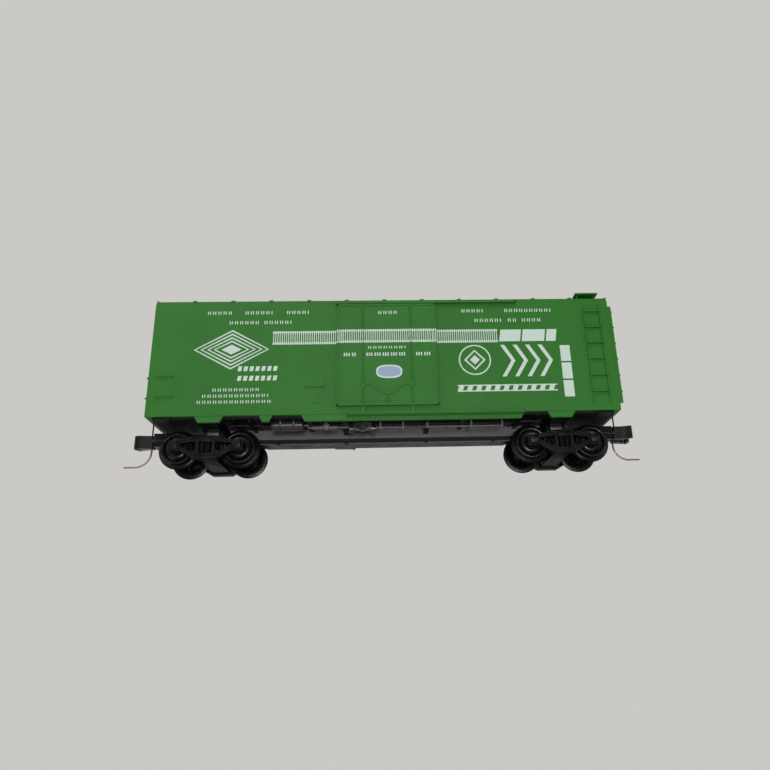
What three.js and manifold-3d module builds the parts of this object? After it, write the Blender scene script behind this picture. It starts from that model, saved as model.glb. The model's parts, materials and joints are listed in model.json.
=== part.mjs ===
// A 1:160 model of a 40 ft plug-door box car: a one-piece body shell with sliding doors on a snap-in
// underframe, carried on two swivelling trucks that hold the wheelsets and the sprung knuckle couplers.
// Millimetres. +X runs along the car to the brake-wheel end, +Y across it, +Z up. Heights in this file are
// above the top of the rail. The car group is lifted by the flange depth, so that the exported part stands
// on Z = 0 with its origin under the middle of the car.
import * as THREE from "three";
import { mergeVertices } from "three/addons/utils/BufferGeometryUtils.js";
import Module from "manifold-3d";

const wasm = await Module();
wasm.setup();

// ---- Driving dimensions ----
const GAP = 0.05; // clearance between pieces that touch in a real car
const BITE = 0.1; // how far a moulded detail reaches into the wall it grows from
const HALF_TURN = Math.PI;

const BODY = { length: 78.4, width: 18.3, sill: 6.95, eave: 27.7, peak: 28.75, wall: 0.8 };
const END_X = BODY.length / 2;
const SIDE_Y = BODY.width / 2;

const TABS = { bottom: 5.87, slope: 0.6, inset: 0.1, thickness: 0.6 };
// Skirts below the side sill, as the X range of each one's upper edge, for the side that faces -Y.
const SKIRTS = [[-31.3, -26.6], [-20.9, -18.6], [-14, 23], [26.8, 31.5]];

const DOOR = { centre: 0.3, width: 17, bottom: 8.2, top: 26.98, thickness: 0.4, barOffset: 4.1 };
const OPENING = { width: 15.4, bottom: 8.7, top: 26.5 };
const TRACK = { lip: 0.15, lipHeight: 0.3, shelf: 0.22, start: -8.5, end: 22.95, upper: 27.03, lower: 6.82 };

const LADDER = { inner: 34.7, width: 3.05, bottom: 8.2, top: 26.1, firstRung: 10.25, pitch: 2.95, rungs: 6 };
const GRABS = { heights: [10.3, 13.85], start: 35.1, width: 2.8 };
const ROOF = { panels: 12, rib: 0.5, ribHeight: 0.2 };
const END_RIBS = { count: 10, first: 8.6, pitch: 1.83, height: 1.15, depth: 0.35, reach: 6.9 };

const WALK = { width: 3, underside: 29.05, thickness: 0.25, overhang: 0.9 };
const LATERAL = { start: 34.15, end: 38.2, reach: 8 };
const BRAKE = { y: -2.6, z: 21.6, housing: 2, depth: 0.9, wheelRadius: 1.75, rim: 0.14, stem: 0.25 };

const FLOOR = { under: 6.6, top: 7.3, boltHole: 0.95 };
const SILL = { width: 2.4, neckWidth: 1.8, flangeWidth: 3, bottom: 3.8, flange: 0.3, web: 4.4, end: 20.9 };
const DRAFT_SILL = { bottom: 3.95, clearance: 2.6 }; // clearance from the swivelling bolster
const STEP = { inner: 35.4, outer: 37.8, bottom: 3, leg: 0.22, y: 8.75, tread: 0.45 };
const BALLAST = { length: 52, width: 15.2, thickness: 0.8 };

const TRUCK = { centre: 29.65, wheelbase: 10.2, bolsterTop: 6.1, bolsterHalf: 1.7 };
const SIDE = { inner: 6.1, outer: 7.3, back: 6.4, column: 1.55, window: 1, bottom: 0.35, top: 4 };
const WHEEL = { tread: 2.62, flangeDepth: 0.7, backFace: 3.8, width: 1.5, bore: 0.65, segments: 18 };
const AXLE = { radius: 0.6, journal: 0.42, tip: 6.8, cone: 6.2, shoulder: 5.5 };
const PIN = { radius: 0.9, head: 1.5, headBottom: 4.4, headTop: 4.85, top: 7.9 };

const BOX = { start: 6.4, end: 10.1, width: 4.1, wall: 0.3, bottom: 3.85, top: 6.15 };
const POST = { x: 7.7, radius: 0.45 };
const COUPLER = { height: 5, split: 0.02, top: 5.8, bottom: 4.2, neck: 0.6, shank: 0.85, bore: 0.53 };
const HEAD = { start: 2.8, bottom: 3.7, guardBottom: 4, knuckleTop: 6, top: 6.3 };
const TRIP = { x: 3.05, y: 0.55, radius: 0.15, top: 4.8, bend: 2.6, drop: 0.6, tip: 7.5 };
const SPRING = { start: 0.52, end: 1.9, coil: 0.3, wire: 0.06, turns: 4 };

// ---- Materials ----
const finish = (color, roughness, metalness) =>
  new THREE.MeshStandardMaterial({ color, roughness, metalness });
const GREEN = finish(0x3d7536, 0.5, 0);
const BLACK = finish(0x1b1b1e, 0.45, 0);
const GREY = finish(0x3c3a3a, 0.5, 0);
const ACETAL = finish(0x141416, 0.35, 0);
const STEEL = finish(0x9a9ca0, 0.4, 1);
const BRONZE = finish(0x8a6f4c, 0.4, 1);

// ---- Shape helpers. Each returns a closed BufferGeometry in the frame of the piece ----
function box(x0, x1, y0, y1, z0, z1) {
  return new THREE.BoxGeometry(x1 - x0, y1 - y0, z1 - z0)
    .translate((x0 + x1) / 2, (y0 + y1) / 2, (z0 + z1) / 2);
}

function shapeOf(points) {
  return new THREE.Shape(points.map(([a, b]) => new THREE.Vector2(a, b)));
}

function extruded(points, depth) {
  return new THREE.ExtrudeGeometry(shapeOf(points), { depth, bevelEnabled: false });
}

// A section in (y, z), carried from x0 to x1.
function prismX(section, x0, x1) {
  const turn = new THREE.Matrix4().makeBasis(
    new THREE.Vector3(0, 1, 0), new THREE.Vector3(0, 0, 1), new THREE.Vector3(1, 0, 0));
  return extruded(section, x1 - x0).applyMatrix4(turn).translate(x0, 0, 0);
}

// A section in (x, z), carried from y0 to y1.
function prismY(section, y0, y1) {
  return extruded(section, y1 - y0).rotateX(Math.PI / 2).translate(0, y1, 0);
}

// A section in (x, y), carried from z0 to z1.
function prismZ(section, z0, z1) {
  return extruded(section, z1 - z0).translate(0, 0, z0);
}

function rodX(x0, x1, y, z, radius, segments = 12) {
  return new THREE.CylinderGeometry(radius, radius, x1 - x0, segments)
    .rotateZ(-Math.PI / 2).translate((x0 + x1) / 2, y, z);
}

function rodY(x, y0, y1, z, radius, segments = 12) {
  return new THREE.CylinderGeometry(radius, radius, y1 - y0, segments).translate(x, (y0 + y1) / 2, z);
}

function rodZ(x, y, z0, z1, radius, segments = 16) {
  return new THREE.CylinderGeometry(radius, radius, z1 - z0, segments)
    .rotateX(Math.PI / 2).translate(x, y, (z0 + z1) / 2);
}

function lathe(profile, segments) {
  return new THREE.LatheGeometry(profile.map(([r, y]) => new THREE.Vector2(r, y)), segments);
}

// The same shapes and their copies turned half a turn about the car's upright centre line.
function bothSides(shapes) {
  return [...shapes, ...shapes.map((shape) => shape.clone().rotateZ(HALF_TURN))];
}

// The same shapes and their mirror images across the plane y = 0, with the faces turned back out.
function mirroredY(shapes) {
  return [...shapes, ...shapes.map((shape) => shape.clone().scale(1, -1, 1))];
}

// ---- Solids ----
function solid(geometry) {
  const bare = geometry.clone();
  bare.deleteAttribute("normal");
  bare.deleteAttribute("uv");
  const merged = mergeVertices(bare, 1e-4);
  const faces = [];
  for (let i = 0; i < merged.index.count; i += 3) {
    const [a, b, c] = [0, 1, 2].map((corner) => merged.index.getX(i + corner));
    if (a !== b && b !== c && c !== a) faces.push(a, b, c);
  }
  const vertProperties = new Float32Array(merged.attributes.position.array);
  const triVerts = new Uint32Array(faces);
  const made = new wasm.Manifold(new wasm.Mesh({ numProp: 3, vertProperties, triVerts }));
  if (made.volume() > 0) return made;
  const turned = new Uint32Array(faces.reverse());
  return new wasm.Manifold(new wasm.Mesh({ numProp: 3, vertProperties, triVerts: turned }));
}

function join(shapes) {
  return shapes.map(solid).reduce((whole, next) => whole.add(next));
}

function cut(whole, shapes) {
  return shapes.map(solid).reduce((left, next) => left.subtract(next), whole);
}

function piece(name, body, material) {
  const { vertProperties, triVerts, numProp } = body.getMesh();
  const positions = new Float32Array((vertProperties.length / numProp) * 3);
  for (let i = 0; i < positions.length / 3; i++) {
    positions.set(vertProperties.subarray(i * numProp, i * numProp + 3), i * 3);
  }
  const geometry = new THREE.BufferGeometry();
  geometry.setAttribute("position", new THREE.BufferAttribute(positions, 3));
  geometry.setIndex(new THREE.BufferAttribute(new Uint32Array(triVerts), 1));
  geometry.computeVertexNormals();
  const mesh = new THREE.Mesh(geometry, material);
  mesh.name = name;
  return mesh;
}

// ---- Body shell ----
function roofSection(half, base, eave, peak) {
  return [[-half, base], [half, base], [half, eave], [0, peak], [-half, eave]];
}

function skirt([start, end]) {
  const outer = -SIDE_Y + TABS.inset;
  const top = BODY.sill + BITE;
  const foot = TABS.bottom;
  const outline = [[start, top], [start + TABS.slope, foot], [end - TABS.slope, foot], [end, top]];
  return prismY(outline, outer, outer + TABS.thickness);
}

// The channel of a door track, opening up (1) or down (-1), standing on the side that faces -Y.
function track(z, direction, start, end) {
  const front = -SIDE_Y - GAP - DOOR.thickness - GAP;
  const shelf = [z, z - direction * TRACK.shelf].sort((a, b) => a - b);
  const lip = [z - direction * TRACK.shelf, z + direction * TRACK.lipHeight].sort((a, b) => a - b);
  return [
    box(start, end, front - TRACK.lip, -SIDE_Y + BITE, ...shelf),
    box(start, end, front - TRACK.lip, front, ...lip),
    box(end - 0.3, end, front - TRACK.lip, -SIDE_Y + BITE, ...lip),
  ];
}

function sideLadder() {
  const { inner, width, bottom, top, firstRung, pitch, rungs } = LADDER;
  const outer = inner + width;
  const stiles = [inner, outer - 0.25].map((x) =>
    box(x, x + 0.25, -SIDE_Y - 0.3, -SIDE_Y + BITE, bottom, top));
  const bars = Array.from({ length: rungs }, (_, i) => firstRung + i * pitch)
    .map((z) => box(inner, outer, -SIDE_Y - 0.45, -SIDE_Y + BITE, z - 0.11, z + 0.11));
  return [...stiles, ...bars];
}

// The ladder beside the side ladder's corner, on the end that faces +X.
function endLadder() {
  const { width, bottom, top, firstRung, pitch, rungs } = LADDER;
  const near = -SIDE_Y + 0.2;
  const far = near + width - 0.2;
  const stiles = [near, far - 0.25].map((y) => box(END_X - BITE, END_X + 0.5, y, y + 0.25, bottom, top));
  const bars = Array.from({ length: rungs }, (_, i) => firstRung + i * pitch)
    .map((z) => box(END_X - BITE, END_X + 0.6, near, far, z - 0.11, z + 0.11));
  return [...stiles, ...bars];
}

// Grab irons at the corner that has no ladder, on the side and on the end beside it.
function grabIrons() {
  const { heights, start, width } = GRABS;
  const onSide = heights.map((z) =>
    box(-start - width, -start, -SIDE_Y - 0.4, -SIDE_Y + BITE, z - 0.1, z + 0.1));
  const onEnd = heights.map((z) =>
    box(-END_X - 0.55, -END_X + BITE, -SIDE_Y + 0.4, -SIDE_Y + 0.4 + width, z - 0.1, z + 0.1));
  return [...onSide, ...onEnd];
}

function roofRibs() {
  const { panels, rib, ribHeight } = ROOF;
  const section = [
    [-SIDE_Y - 0.1, BODY.eave - 0.35], [0, BODY.peak - 0.35], [SIDE_Y + 0.1, BODY.eave - 0.35],
    [SIDE_Y + 0.1, BODY.eave + ribHeight], [0, BODY.peak + ribHeight], [-SIDE_Y - 0.1, BODY.eave + ribHeight],
  ];
  return Array.from({ length: panels - 1 }, (_, i) => (i + 1 - panels / 2) * (BODY.length / panels))
    .map((x) => prismX(section, x - rib / 2, x + rib / 2));
}

// One pressed rib of the end that faces +X: a low ridge with sloping flanks and sloping ends.
function endRib(z) {
  const { height, depth, reach } = END_RIBS;
  const rise = height / 2;
  const flat = height / 5;
  const ridge = [[END_X - BITE, z - rise], [END_X, z - rise], [END_X + depth, z - flat],
    [END_X + depth, z + flat], [END_X, z + rise], [END_X - BITE, z + rise]];
  return prismY(ridge, -reach, reach);
}

function endRibs() {
  return Array.from({ length: END_RIBS.count }, (_, i) => endRib(END_RIBS.first + i * END_RIBS.pitch));
}

function cornerPosts() {
  const post = (x, y) => box(x - 0.8, x + 0.8, y - 0.8, y + 0.8, FLOOR.top + GAP, FLOOR.top + 2.5);
  const x = END_X - BODY.wall - 0.7;
  const y = SIDE_Y - BODY.wall - 0.7;
  return [post(x, y), post(x, -y), post(-x, y), post(-x, -y)];
}

function brakeHousing() {
  const { y, z, housing, depth } = BRAKE;
  const half = housing / 2;
  return [
    box(END_X - BITE, END_X + depth, y - half, y + half, z - half, z + half),
    box(END_X - BITE, END_X + 0.5, y - 0.15, y + 0.15, 8, z),
    box(END_X - BITE, END_X + 1.7, y - 1.8, y + 1.6, 17.5, 17.75),
    prismY([[END_X - BITE, 16.4], [END_X + 1.2, 17.6], [END_X - BITE, 17.6]], y - 1.3, y - 1.05),
    prismY([[END_X - BITE, 16.4], [END_X + 1.2, 17.6], [END_X - BITE, 17.6]], y + 0.9, y + 1.15),
  ];
}

function bodyShell() {
  const { length, sill, eave, peak, wall } = BODY;
  const outside = prismX(roofSection(SIDE_Y, sill, eave, peak), -length / 2, length / 2);
  const hollow = roofSection(SIDE_Y - wall, sill - 1, eave - wall, peak - wall);
  const inside = prismX(hollow, wall - END_X, END_X - wall);
  const opening = box(DOOR.centre - OPENING.width / 2, DOOR.centre + OPENING.width / 2,
    -SIDE_Y - 1, -SIDE_Y + wall + 1, OPENING.bottom, OPENING.top);
  const placardLedge = box(-13.4, -10.2, -SIDE_Y - 0.2, -SIDE_Y + BITE, 11.72, 11.88);
  const walls = cut(solid(outside), [inside, ...bothSides([opening])]);
  const details = bothSides([
    ...SKIRTS.map(skirt), ...track(TRACK.upper, -1, TRACK.start, TRACK.end),
    ...track(TRACK.lower, 1, TRACK.start + 2, TRACK.end), ...sideLadder(), ...endLadder(),
    ...grabIrons(), ...endRibs(), placardLedge,
  ]);
  const whole = walls.add(join([...details, ...roofRibs(), ...cornerPosts(), ...brakeHousing()]));
  const stemHole = rodX(END_X - BITE, END_X + 2, BRAKE.y, BRAKE.z, BRAKE.stem + GAP);
  return piece("body_shell", cut(whole, [stemHole]), GREEN);
}

// ---- Doors ----
function doorPanel(name) {
  const { centre, width, bottom, top, thickness, barOffset } = DOOR;
  const [left, right] = [centre - width / 2, centre + width / 2];
  const back = -SIDE_Y - GAP;
  const front = back - thickness;
  const proud = (rise) => front - rise;
  const panel = box(left, right, front, back, bottom, top);
  const stop = TRACK.upper - TRACK.lipHeight - 0.1;
  const frame = [
    box(left, left + 0.3, proud(0.12), front + BITE, bottom, stop),
    box(right - 0.3, right, proud(0.12), front + BITE, bottom, stop),
    box(left, right, proud(0.12), front + BITE, bottom, bottom + 0.3),
    box(left, right, proud(0.12), front + BITE, stop - 0.3, stop),
  ];
  const bars = [-barOffset, barOffset].map((offset) =>
    box(centre + offset - 0.14, centre + offset + 0.14, proud(0.22), front + BITE, bottom + 0.2, stop - 0.2));
  const lever = [
    [-barOffset, 11.95], [-2.6, 11.95], [-0.75, 10.5], [0.75, 10.5], [2.6, 11.95], [barOffset, 11.95],
    [barOffset, 11.7], [2.7, 11.7], [0.85, 10.2], [-0.85, 10.2], [-2.7, 11.7], [-barOffset, 11.7],
  ];
  const linkage = [
    prismY(lever.map(([x, z]) => [x + centre, z]), proud(0.2), front + BITE),
    box(centre - 0.15, centre + 0.15, proud(0.2), front + BITE, bottom + 0.2, 10.3),
  ];
  const feet = [-barOffset, barOffset].map((offset) =>
    box(centre + offset - 0.3, centre + offset + 0.3, front, back, TRACK.lower + GAP, bottom + BITE));
  return piece(name, join([panel, ...frame, ...bars, ...linkage, ...feet]), GREEN);
}

// ---- Running board and brake wheel ----
function runningBoard() {
  const { width, underside, thickness, overhang } = WALK;
  const { start, end: stop, reach } = LATERAL;
  const top = underside + thickness;
  const end = END_X + overhang;
  const walk = box(-end, end, -width / 2, width / 2, underside, top);
  const board = box(start, stop, -reach, -width / 2 + BITE, underside, top);
  const legs = [start + 0.5, stop - 0.5].map((x) =>
    box(x - 0.15, x + 0.15, -reach + 0.6, -reach + 1, BODY.eave + 0.45, underside + BITE));
  const saddle = (x) => box(x - 0.2, x + 0.2, -1.2, 1.2, BODY.peak + ROOF.ribHeight + GAP, underside + BITE);
  const pitch = BODY.length / ROOF.panels;
  const seam = (i) => (i + 1 - ROOF.panels / 2) * pitch;
  const saddles = Array.from({ length: ROOF.panels - 1 }, (_, i) => saddle(seam(i)));
  const endBracket = prismY([[END_X + GAP, 28], [END_X + 0.3, 28], [end - 0.1, underside + BITE],
    [END_X + GAP, underside + BITE]], -0.9, -0.6);
  const brackets = mirroredY([endBracket]);
  return piece("running_board", join([walk, ...saddles, ...bothSides([board, ...legs, ...brackets])]), GREEN);
}

// The hand-brake wheel, about its own axis along X, with the rim's middle plane at x = 0.
function brakeWheel() {
  const { wheelRadius, rim, stem } = BRAKE;
  const ring = new THREE.TorusGeometry(wheelRadius - rim, rim, 6, 24).rotateY(Math.PI / 2);
  const spokes = Array.from({ length: 5 }, (_, i) =>
    box(-0.1, 0.08, -0.1, 0.1, 0, wheelRadius - rim).rotateX((i * 2 * HALF_TURN) / 5));
  const hub = rodX(-0.25, 0.2, 0, 0, 0.42);
  const shaft = rodX(-1.1, 0, 0, 0, stem);
  return piece("brake_wheel", join([hub, shaft, ring, ...spokes]), GREEN);
}

// ---- Underframe ----
// A boxed sill with a cover strip along its foot. Between the trucks the strip is one flat face, and over
// them it steps up to clear the axles.
function centreSill() {
  const { width, neckWidth, flangeWidth, bottom, flange, web, end } = SILL;
  const draftEnd = TRUCK.centre - DRAFT_SILL.clearance;
  const level = (half, x, low, high) => box(-x, x, -half, half, low, high);
  return [
    level(width / 2, draftEnd, web, FLOOR.under + BITE),
    level(neckWidth / 2, draftEnd - 0.3, bottom + flange - BITE, web + BITE),
    level(flangeWidth / 2, end, bottom, bottom + flange),
    level(flangeWidth / 2, draftEnd - 0.1, DRAFT_SILL.bottom, bottom + flange),
  ];
}

function crossMembers() {
  const bearer = [[-8.2, 6.1], [-1.5, 5.5], [1.5, 5.5], [8.2, 6.1], [8.2, FLOOR.under + BITE],
    [-8.2, FLOOR.under + BITE]];
  const tie = [[-8.2, 6.2], [8.2, 6.2], [8.2, FLOOR.under + BITE], [-8.2, FLOOR.under + BITE]];
  const boss = (x) => rodZ(x, 0, TRUCK.bolsterTop + GAP, FLOOR.under + BITE, 2.3, 16);
  const bolster = (x) => box(x - 1.6, x + 1.6, -8.2, 8.2, 6.3, FLOOR.under + BITE);
  const bearing = (x) => box(x - 1.1, x + 1.1, 3.2, 3.6, 5.2, FLOOR.under + BITE);
  const bearingX = TRUCK.centre - 0.25;
  return [
    ...[-6.9, 6.9].map((x) => prismX(bearer, x - 0.3, x + 0.3)),
    ...[-22.5, -12.8, 12.8, 22.5].map((x) => prismX(tie, x - 0.25, x + 0.25)),
    ...[-TRUCK.centre, TRUCK.centre].flatMap((x) => [boss(x), bolster(x)]),
    ...mirroredY([-bearingX, bearingX].map(bearing)),
  ];
}

// Stirrup steps at the corners. They hang from ears that pass under the body's side walls.
function stirrup() {
  const { inner, outer, bottom, leg, y, tread } = STEP;
  const legs = [inner, outer - leg].map((x) => box(x, x + leg, -y - 0.13, -y + 0.13, bottom, 6.6));
  return [
    box(inner - 0.2, outer + 0.2, -y - 0.18, -8, 6.45, BODY.sill - GAP),
    box(inner, outer, -y - tread / 2, -y + tread / 2, bottom, bottom + 0.2),
    ...legs,
  ];
}

function brakeGear() {
  const y = -6.5;
  const hanger = (x, z) => box(x - 0.17, x + 0.17, y - 0.2, y + 0.2, z, FLOOR.under + BITE);
  const reservoir = [
    rodX(-19, -14, y, 5.9, 0.95), rodX(-19.3, -13.7, y, 5.9, 0.6),
    box(-17.6, -17.2, y - 1, y + 1, 5.9, FLOOR.under + BITE),
    box(-15.6, -15.2, y - 1, y + 1, 5.9, FLOOR.under + BITE),
  ];
  const valve = [
    box(-5.6, -2.4, -7.1, -5.3, 5, FLOOR.under + BITE), rodX(-6.3, -1.7, -6.2, 5.2, 0.75, 10),
    rodY(-4, -7.6, -5.3, 5.1, 0.65, 10),
  ];
  const rods = [
    rodX(-13.8, -6.2, y, 5.4, 0.16, 6), rodX(-2, 19.6, y, 5.3, 0.16, 6),
    hanger(-10, 5.3), rodY(-10, y - 0.6, y + 0.6, 5.55, 0.55, 12), rodX(-12.4, -8.2, y, 5.4, 0.3, 8),
    ...[-1, 2.8, 6.9, 14.3, 19.5].map((x) => hanger(x, 5.15)),
  ];
  const cylinder = [
    rodX(-9.5, -5.2, 5, 5.55, 1), rodX(-5.4, -2.2, 5, 5.55, 0.3, 8),
    box(-8.6, -6.2, 4.4, 5.6, 5.5, FLOOR.under + BITE), box(-2.4, -1.9, 1, 6.2, 5.35, 5.7),
    box(-2.4, -1.9, 5.9, 6.2, 5.35, FLOOR.under + BITE), rodX(-2.2, 19.9, 2.6, 5.5, 0.16, 8),
    box(19.6, 19.9, 2.4, 2.8, 5.35, FLOOR.under + BITE),
  ];
  return [...reservoir, ...valve, ...rods, ...cylinder];
}

function underframe() {
  const inside = BODY.wall + 0.1;
  const plate = box(inside - END_X, END_X - inside, inside - SIDE_Y, SIDE_Y - inside, FLOOR.under, FLOOR.top);
  const steps = bothSides(mirroredY(stirrup()));
  const whole = join([plate, ...centreSill(), ...crossMembers(), ...brakeGear(), ...steps]);
  const sockets = [-TRUCK.centre, TRUCK.centre].map((x) => rodZ(x, 0, 5, 8, FLOOR.boltHole, 16));
  return piece("underframe", cut(whole, sockets), GREY);
}

function ballastPlate() {
  const { length, width, thickness } = BALLAST;
  const bottom = FLOOR.top + GAP;
  const plate = box(-length / 2, length / 2, -width / 2, width / 2, bottom, bottom + thickness);
  return piece("ballast_plate", solid(plate), STEEL);
}

function kingPin(name) {
  const { radius, head, headBottom, headTop, top } = PIN;
  const profile = [[0, headBottom], [head - 0.2, headBottom], [head, headBottom + 0.2], [head, headTop],
    [radius, headTop], [radius, top - 0.3], [radius - 0.25, top], [0, top]];
  return piece(name, solid(lathe(profile, 16).rotateX(Math.PI / 2)), ACETAL);
}

// ---- Trucks, in a frame with the swivel axis at x = 0 and the coupler towards +X ----
// The +Y sideframe: level top chord, deep V-shaped bottom chord, journal boxes at the ends, and springs in a
// window that is closed at the back.
function sideframe() {
  const { inner, outer, back, column, window, bottom, top } = SIDE;
  const half = TRUCK.wheelbase / 2;
  const axle = WHEEL.tread;
  const mirrored = (points) => points.map(([x, z]) => [-x, z]);
  const right = [[1.75, bottom], [half - 1, axle - 0.9], [half + 0.9, axle - 0.92], [half + 1, axle + 0.7],
    [half - 0.8, axle + 0.9], [2.4, top]];
  const casting = solid(prismY([...right, ...mirrored(right).reverse()], inner, outer));
  const gap = [[column, 1.75], [half - 1.5, axle + 0.12], [half - 1.5, axle + 0.55], [column, top - 0.6]];
  const holes = [gap, mirrored(gap)].map((hole) => prismY(hole, inner - 1, outer + 1));
  const pocket = box(-window, window, back, outer + 1, bottom + 0.8, top - 0.75);
  const boxes = [-half, half].map((x) =>
    box(x - 0.8, x + 0.8, outer - BITE, outer + 0.4, axle - 0.8, axle + 0.8));
  const springs = [-0.5, 0.5].map((x) => rodZ(x, back + 0.35, bottom + 0.7, top - 0.7, 0.42, 10));
  const bolsterEnd = box(-window - 0.1, window + 0.1, inner - 0.3, outer + 0.15, top - 0.9, top - 0.1);
  return cut(casting, [...holes, pocket]).add(join([...boxes, ...springs, bolsterEnd]));
}

// The frame's coupler pocket: a roof, side walls and a back wall round the pivot post, open below and ahead.
function couplerPocket() {
  const { start, end, width, wall, bottom, top } = BOX;
  const half = width / 2;
  const lid = bottom + wall - 0.05;
  return [
    box(start, end, -half, half, top - wall, top),
    box(start, end, -half, wall - half, lid + 0.02, top),
    box(start, end, half - wall, half, lid + 0.02, top),
    box(start, start + 0.4, -half, half, lid + 0.02, top),
    rodZ(POST.x, 0, lid + 0.1, top - BITE, POST.radius, 16),
    box(TRUCK.bolsterHalf - BITE, start + BITE, -1.5, 1.5, 4.8, TRUCK.bolsterTop - 0.05),
  ];
}

function truckFrame(name) {
  const { bolsterHalf, bolsterTop } = TRUCK;
  const bolster = box(-bolsterHalf, bolsterHalf, -2.6, 2.6, 4.9, bolsterTop);
  const wingEnd = SIDE.inner + BITE;
  const wing = [[2.1, 4.5], [2.1, 5.1], [wingEnd, SIDE.top], [wingEnd, 3.2], [5.2, 3.3]];
  const wings = mirroredY([prismX(wing, -1.3, 1.3)]);
  const plank = box(-1.4, 1.4, -wingEnd, wingEnd, 0.75, 1.15);
  const side = sideframe();
  const whole = join([bolster, plank, ...wings, ...couplerPocket()]).add(side).add(side.mirror([0, 1, 0]));
  const pinHole = rodZ(0, 0, 4, 7, PIN.radius + 0.1, 16);
  const half = TRUCK.wheelbase / 2;
  const coneEnd = AXLE.tip + 0.15;
  const coneStart = SIDE.inner - 0.05;
  const cone = new THREE.CylinderGeometry(0.02, 0.56, coneEnd - coneStart, 12)
    .translate(0, (coneEnd + coneStart) / 2, WHEEL.tread);
  const pockets = mirroredY([-half, half].map((x) => cone.clone().translate(x, 0, 0)));
  return piece(name, cut(whole, [pinHole, ...pockets]), BLACK);
}

function couplerLid(name) {
  const { start, end, width, wall, bottom } = BOX;
  return piece(name, solid(box(start, end, -width / 2, width / 2, bottom, bottom + wall - 0.05)), BLACK);
}

function axle(name) {
  const { radius, journal, tip, cone, shoulder } = AXLE;
  const half = [[journal, shoulder + 0.1], [journal, cone], [0, tip]];
  const other = half.map(([r, y]) => [r, -y]).reverse();
  const profile = [...other, [radius, -shoulder], [radius, shoulder], ...half];
  return piece(name, solid(lathe(profile, 12)), ACETAL);
}

// A wheel with its back face at y = 0 and its front towards +Y.
function wheel(name) {
  const { tread, flangeDepth, width, bore, segments } = WHEEL;
  const flange = tread + flangeDepth;
  const profile = [[bore, 0], [flange - 0.15, 0], [flange, 0.2], [tread + 0.1, 0.55],
    [tread - 0.02, width], [2.25, width], [2.1, 1.15], [1.15, 0.95], [1, 1.35], [bore, 1.35], [bore, 0]];
  return piece(name, solid(lathe(profile, segments)), ACETAL);
}

function wheelset(suffix, x) {
  const group = new THREE.Group();
  const right = wheel("wheel_" + suffix + "_left");
  const left = wheel("wheel_" + suffix + "_right");
  right.position.y = WHEEL.backFace;
  left.position.y = -WHEEL.backFace;
  left.rotation.z = HALF_TURN;
  group.add(axle("axle_" + suffix), right, left);
  group.position.set(x, 0, WHEEL.tread);
  return group;
}

// ---- Couplers, in a frame with the pivot post at x = 0 and the pulling face towards +X ----
// A flat shank with an eye round the post, an arm that narrows to the neck, and a slot for the spring.
function shank(bottom, top, slotHalf, neckStart, neckEnd) {
  const { shank: half, neck, bore } = COUPLER;
  const plan = [[0, -half], [2.1, -half], [2.4, -neck], [neckStart, -neck], [neckStart, 0.1], [neckEnd, 0.1],
    [neckEnd, neck], [2.4, neck], [2.1, half], [0, half]];
  const arm = join([prismZ(plan, bottom, top), rodZ(0, 0, bottom, top, half + 0.05, 16)]);
  const slot = box(0, 2.05, -slotHalf, slotHalf, bottom - 1, top + 1);
  return cut(arm, [rodZ(0, 0, bottom - 1, top + 1, bore, 16), slot]);
}

// The half with the guard arm, on the -Y side of the head.
function couplerHead(name) {
  const start = HEAD.start + 0.05;
  const guard = [[start, -1.15], [4.5, -1.2], [6, -1.85], [6.1, -1.6], [5, -0.55], [4.6, 0],
    [start + 0.1, 0.1], [start, 0.1]];
  const split = COUPLER.height + COUPLER.split;
  const arm = shank(split, COUPLER.top, 0.42, HEAD.start + 0.15, HEAD.start - 0.2);
  return piece(name, arm.add(solid(prismZ(guard, HEAD.guardBottom, HEAD.top))), ACETAL);
}

// The half with the knuckle, on the +Y side of the head, which also carries the trip pin.
function couplerKnuckle(name) {
  const { start } = HEAD;
  const hook = [[start, 0.22], [4.4, 0.25], [4.85, 0.7], [5.3, 0.65], [5.25, 0.2], [5.6, -0.15], [6, 0.15],
    [6, 0.85], [5.8, 1.3], [5.1, 1.5], [start, 1.15]];
  const split = COUPLER.height - COUPLER.split;
  const arm = shank(COUPLER.bottom, split, 0.66, start - 0.2, start + 0.15);
  const body = arm.add(solid(prismZ(hook, HEAD.bottom, HEAD.knuckleTop)));
  const pinHole = rodZ(TRIP.x, TRIP.y, HEAD.bottom - 1, TRIP.top + 0.05, TRIP.radius + 0.04, 10);
  return piece(name, cut(body, [pinHole]), ACETAL);
}

// A round wire along a path.
function wire(path, radius, steps, sides) {
  const ring = Array.from({ length: sides }, (_, i) => (i * 2 * Math.PI) / sides)
    .map((angle) => [radius * Math.cos(angle), radius * Math.sin(angle)]);
  return new THREE.ExtrudeGeometry(shapeOf(ring), { extrudePath: path, steps, bevelEnabled: false });
}

function tripPin(name) {
  const { x, y, radius, top, bend, drop, tip } = TRIP;
  const path = new THREE.CatmullRomCurve3([
    new THREE.Vector3(x, y, top), new THREE.Vector3(x, y, drop + bend + 0.5),
    new THREE.Vector3(x, y, drop + bend),
    new THREE.Vector3(x + 0.29 * bend, y, drop + 0.29 * bend), new THREE.Vector3(x + bend, y, drop),
    new THREE.Vector3(x + bend + 0.6, y, drop), new THREE.Vector3(tip, y, drop),
  ], false, "centripetal");
  return piece(name, solid(wire(path, radius, 16, 6)), STEEL);
}

class Helix extends THREE.Curve {
  getPoint(t) {
    const angle = t * SPRING.turns * 2 * Math.PI;
    const x = SPRING.start + SPRING.wire + t * (SPRING.end - SPRING.start - 2 * SPRING.wire);
    const [y, z] = [Math.cos(angle), Math.sin(angle)].map((part) => SPRING.coil * part);
    return new THREE.Vector3(x, y, COUPLER.height + z);
  }
}

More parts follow.
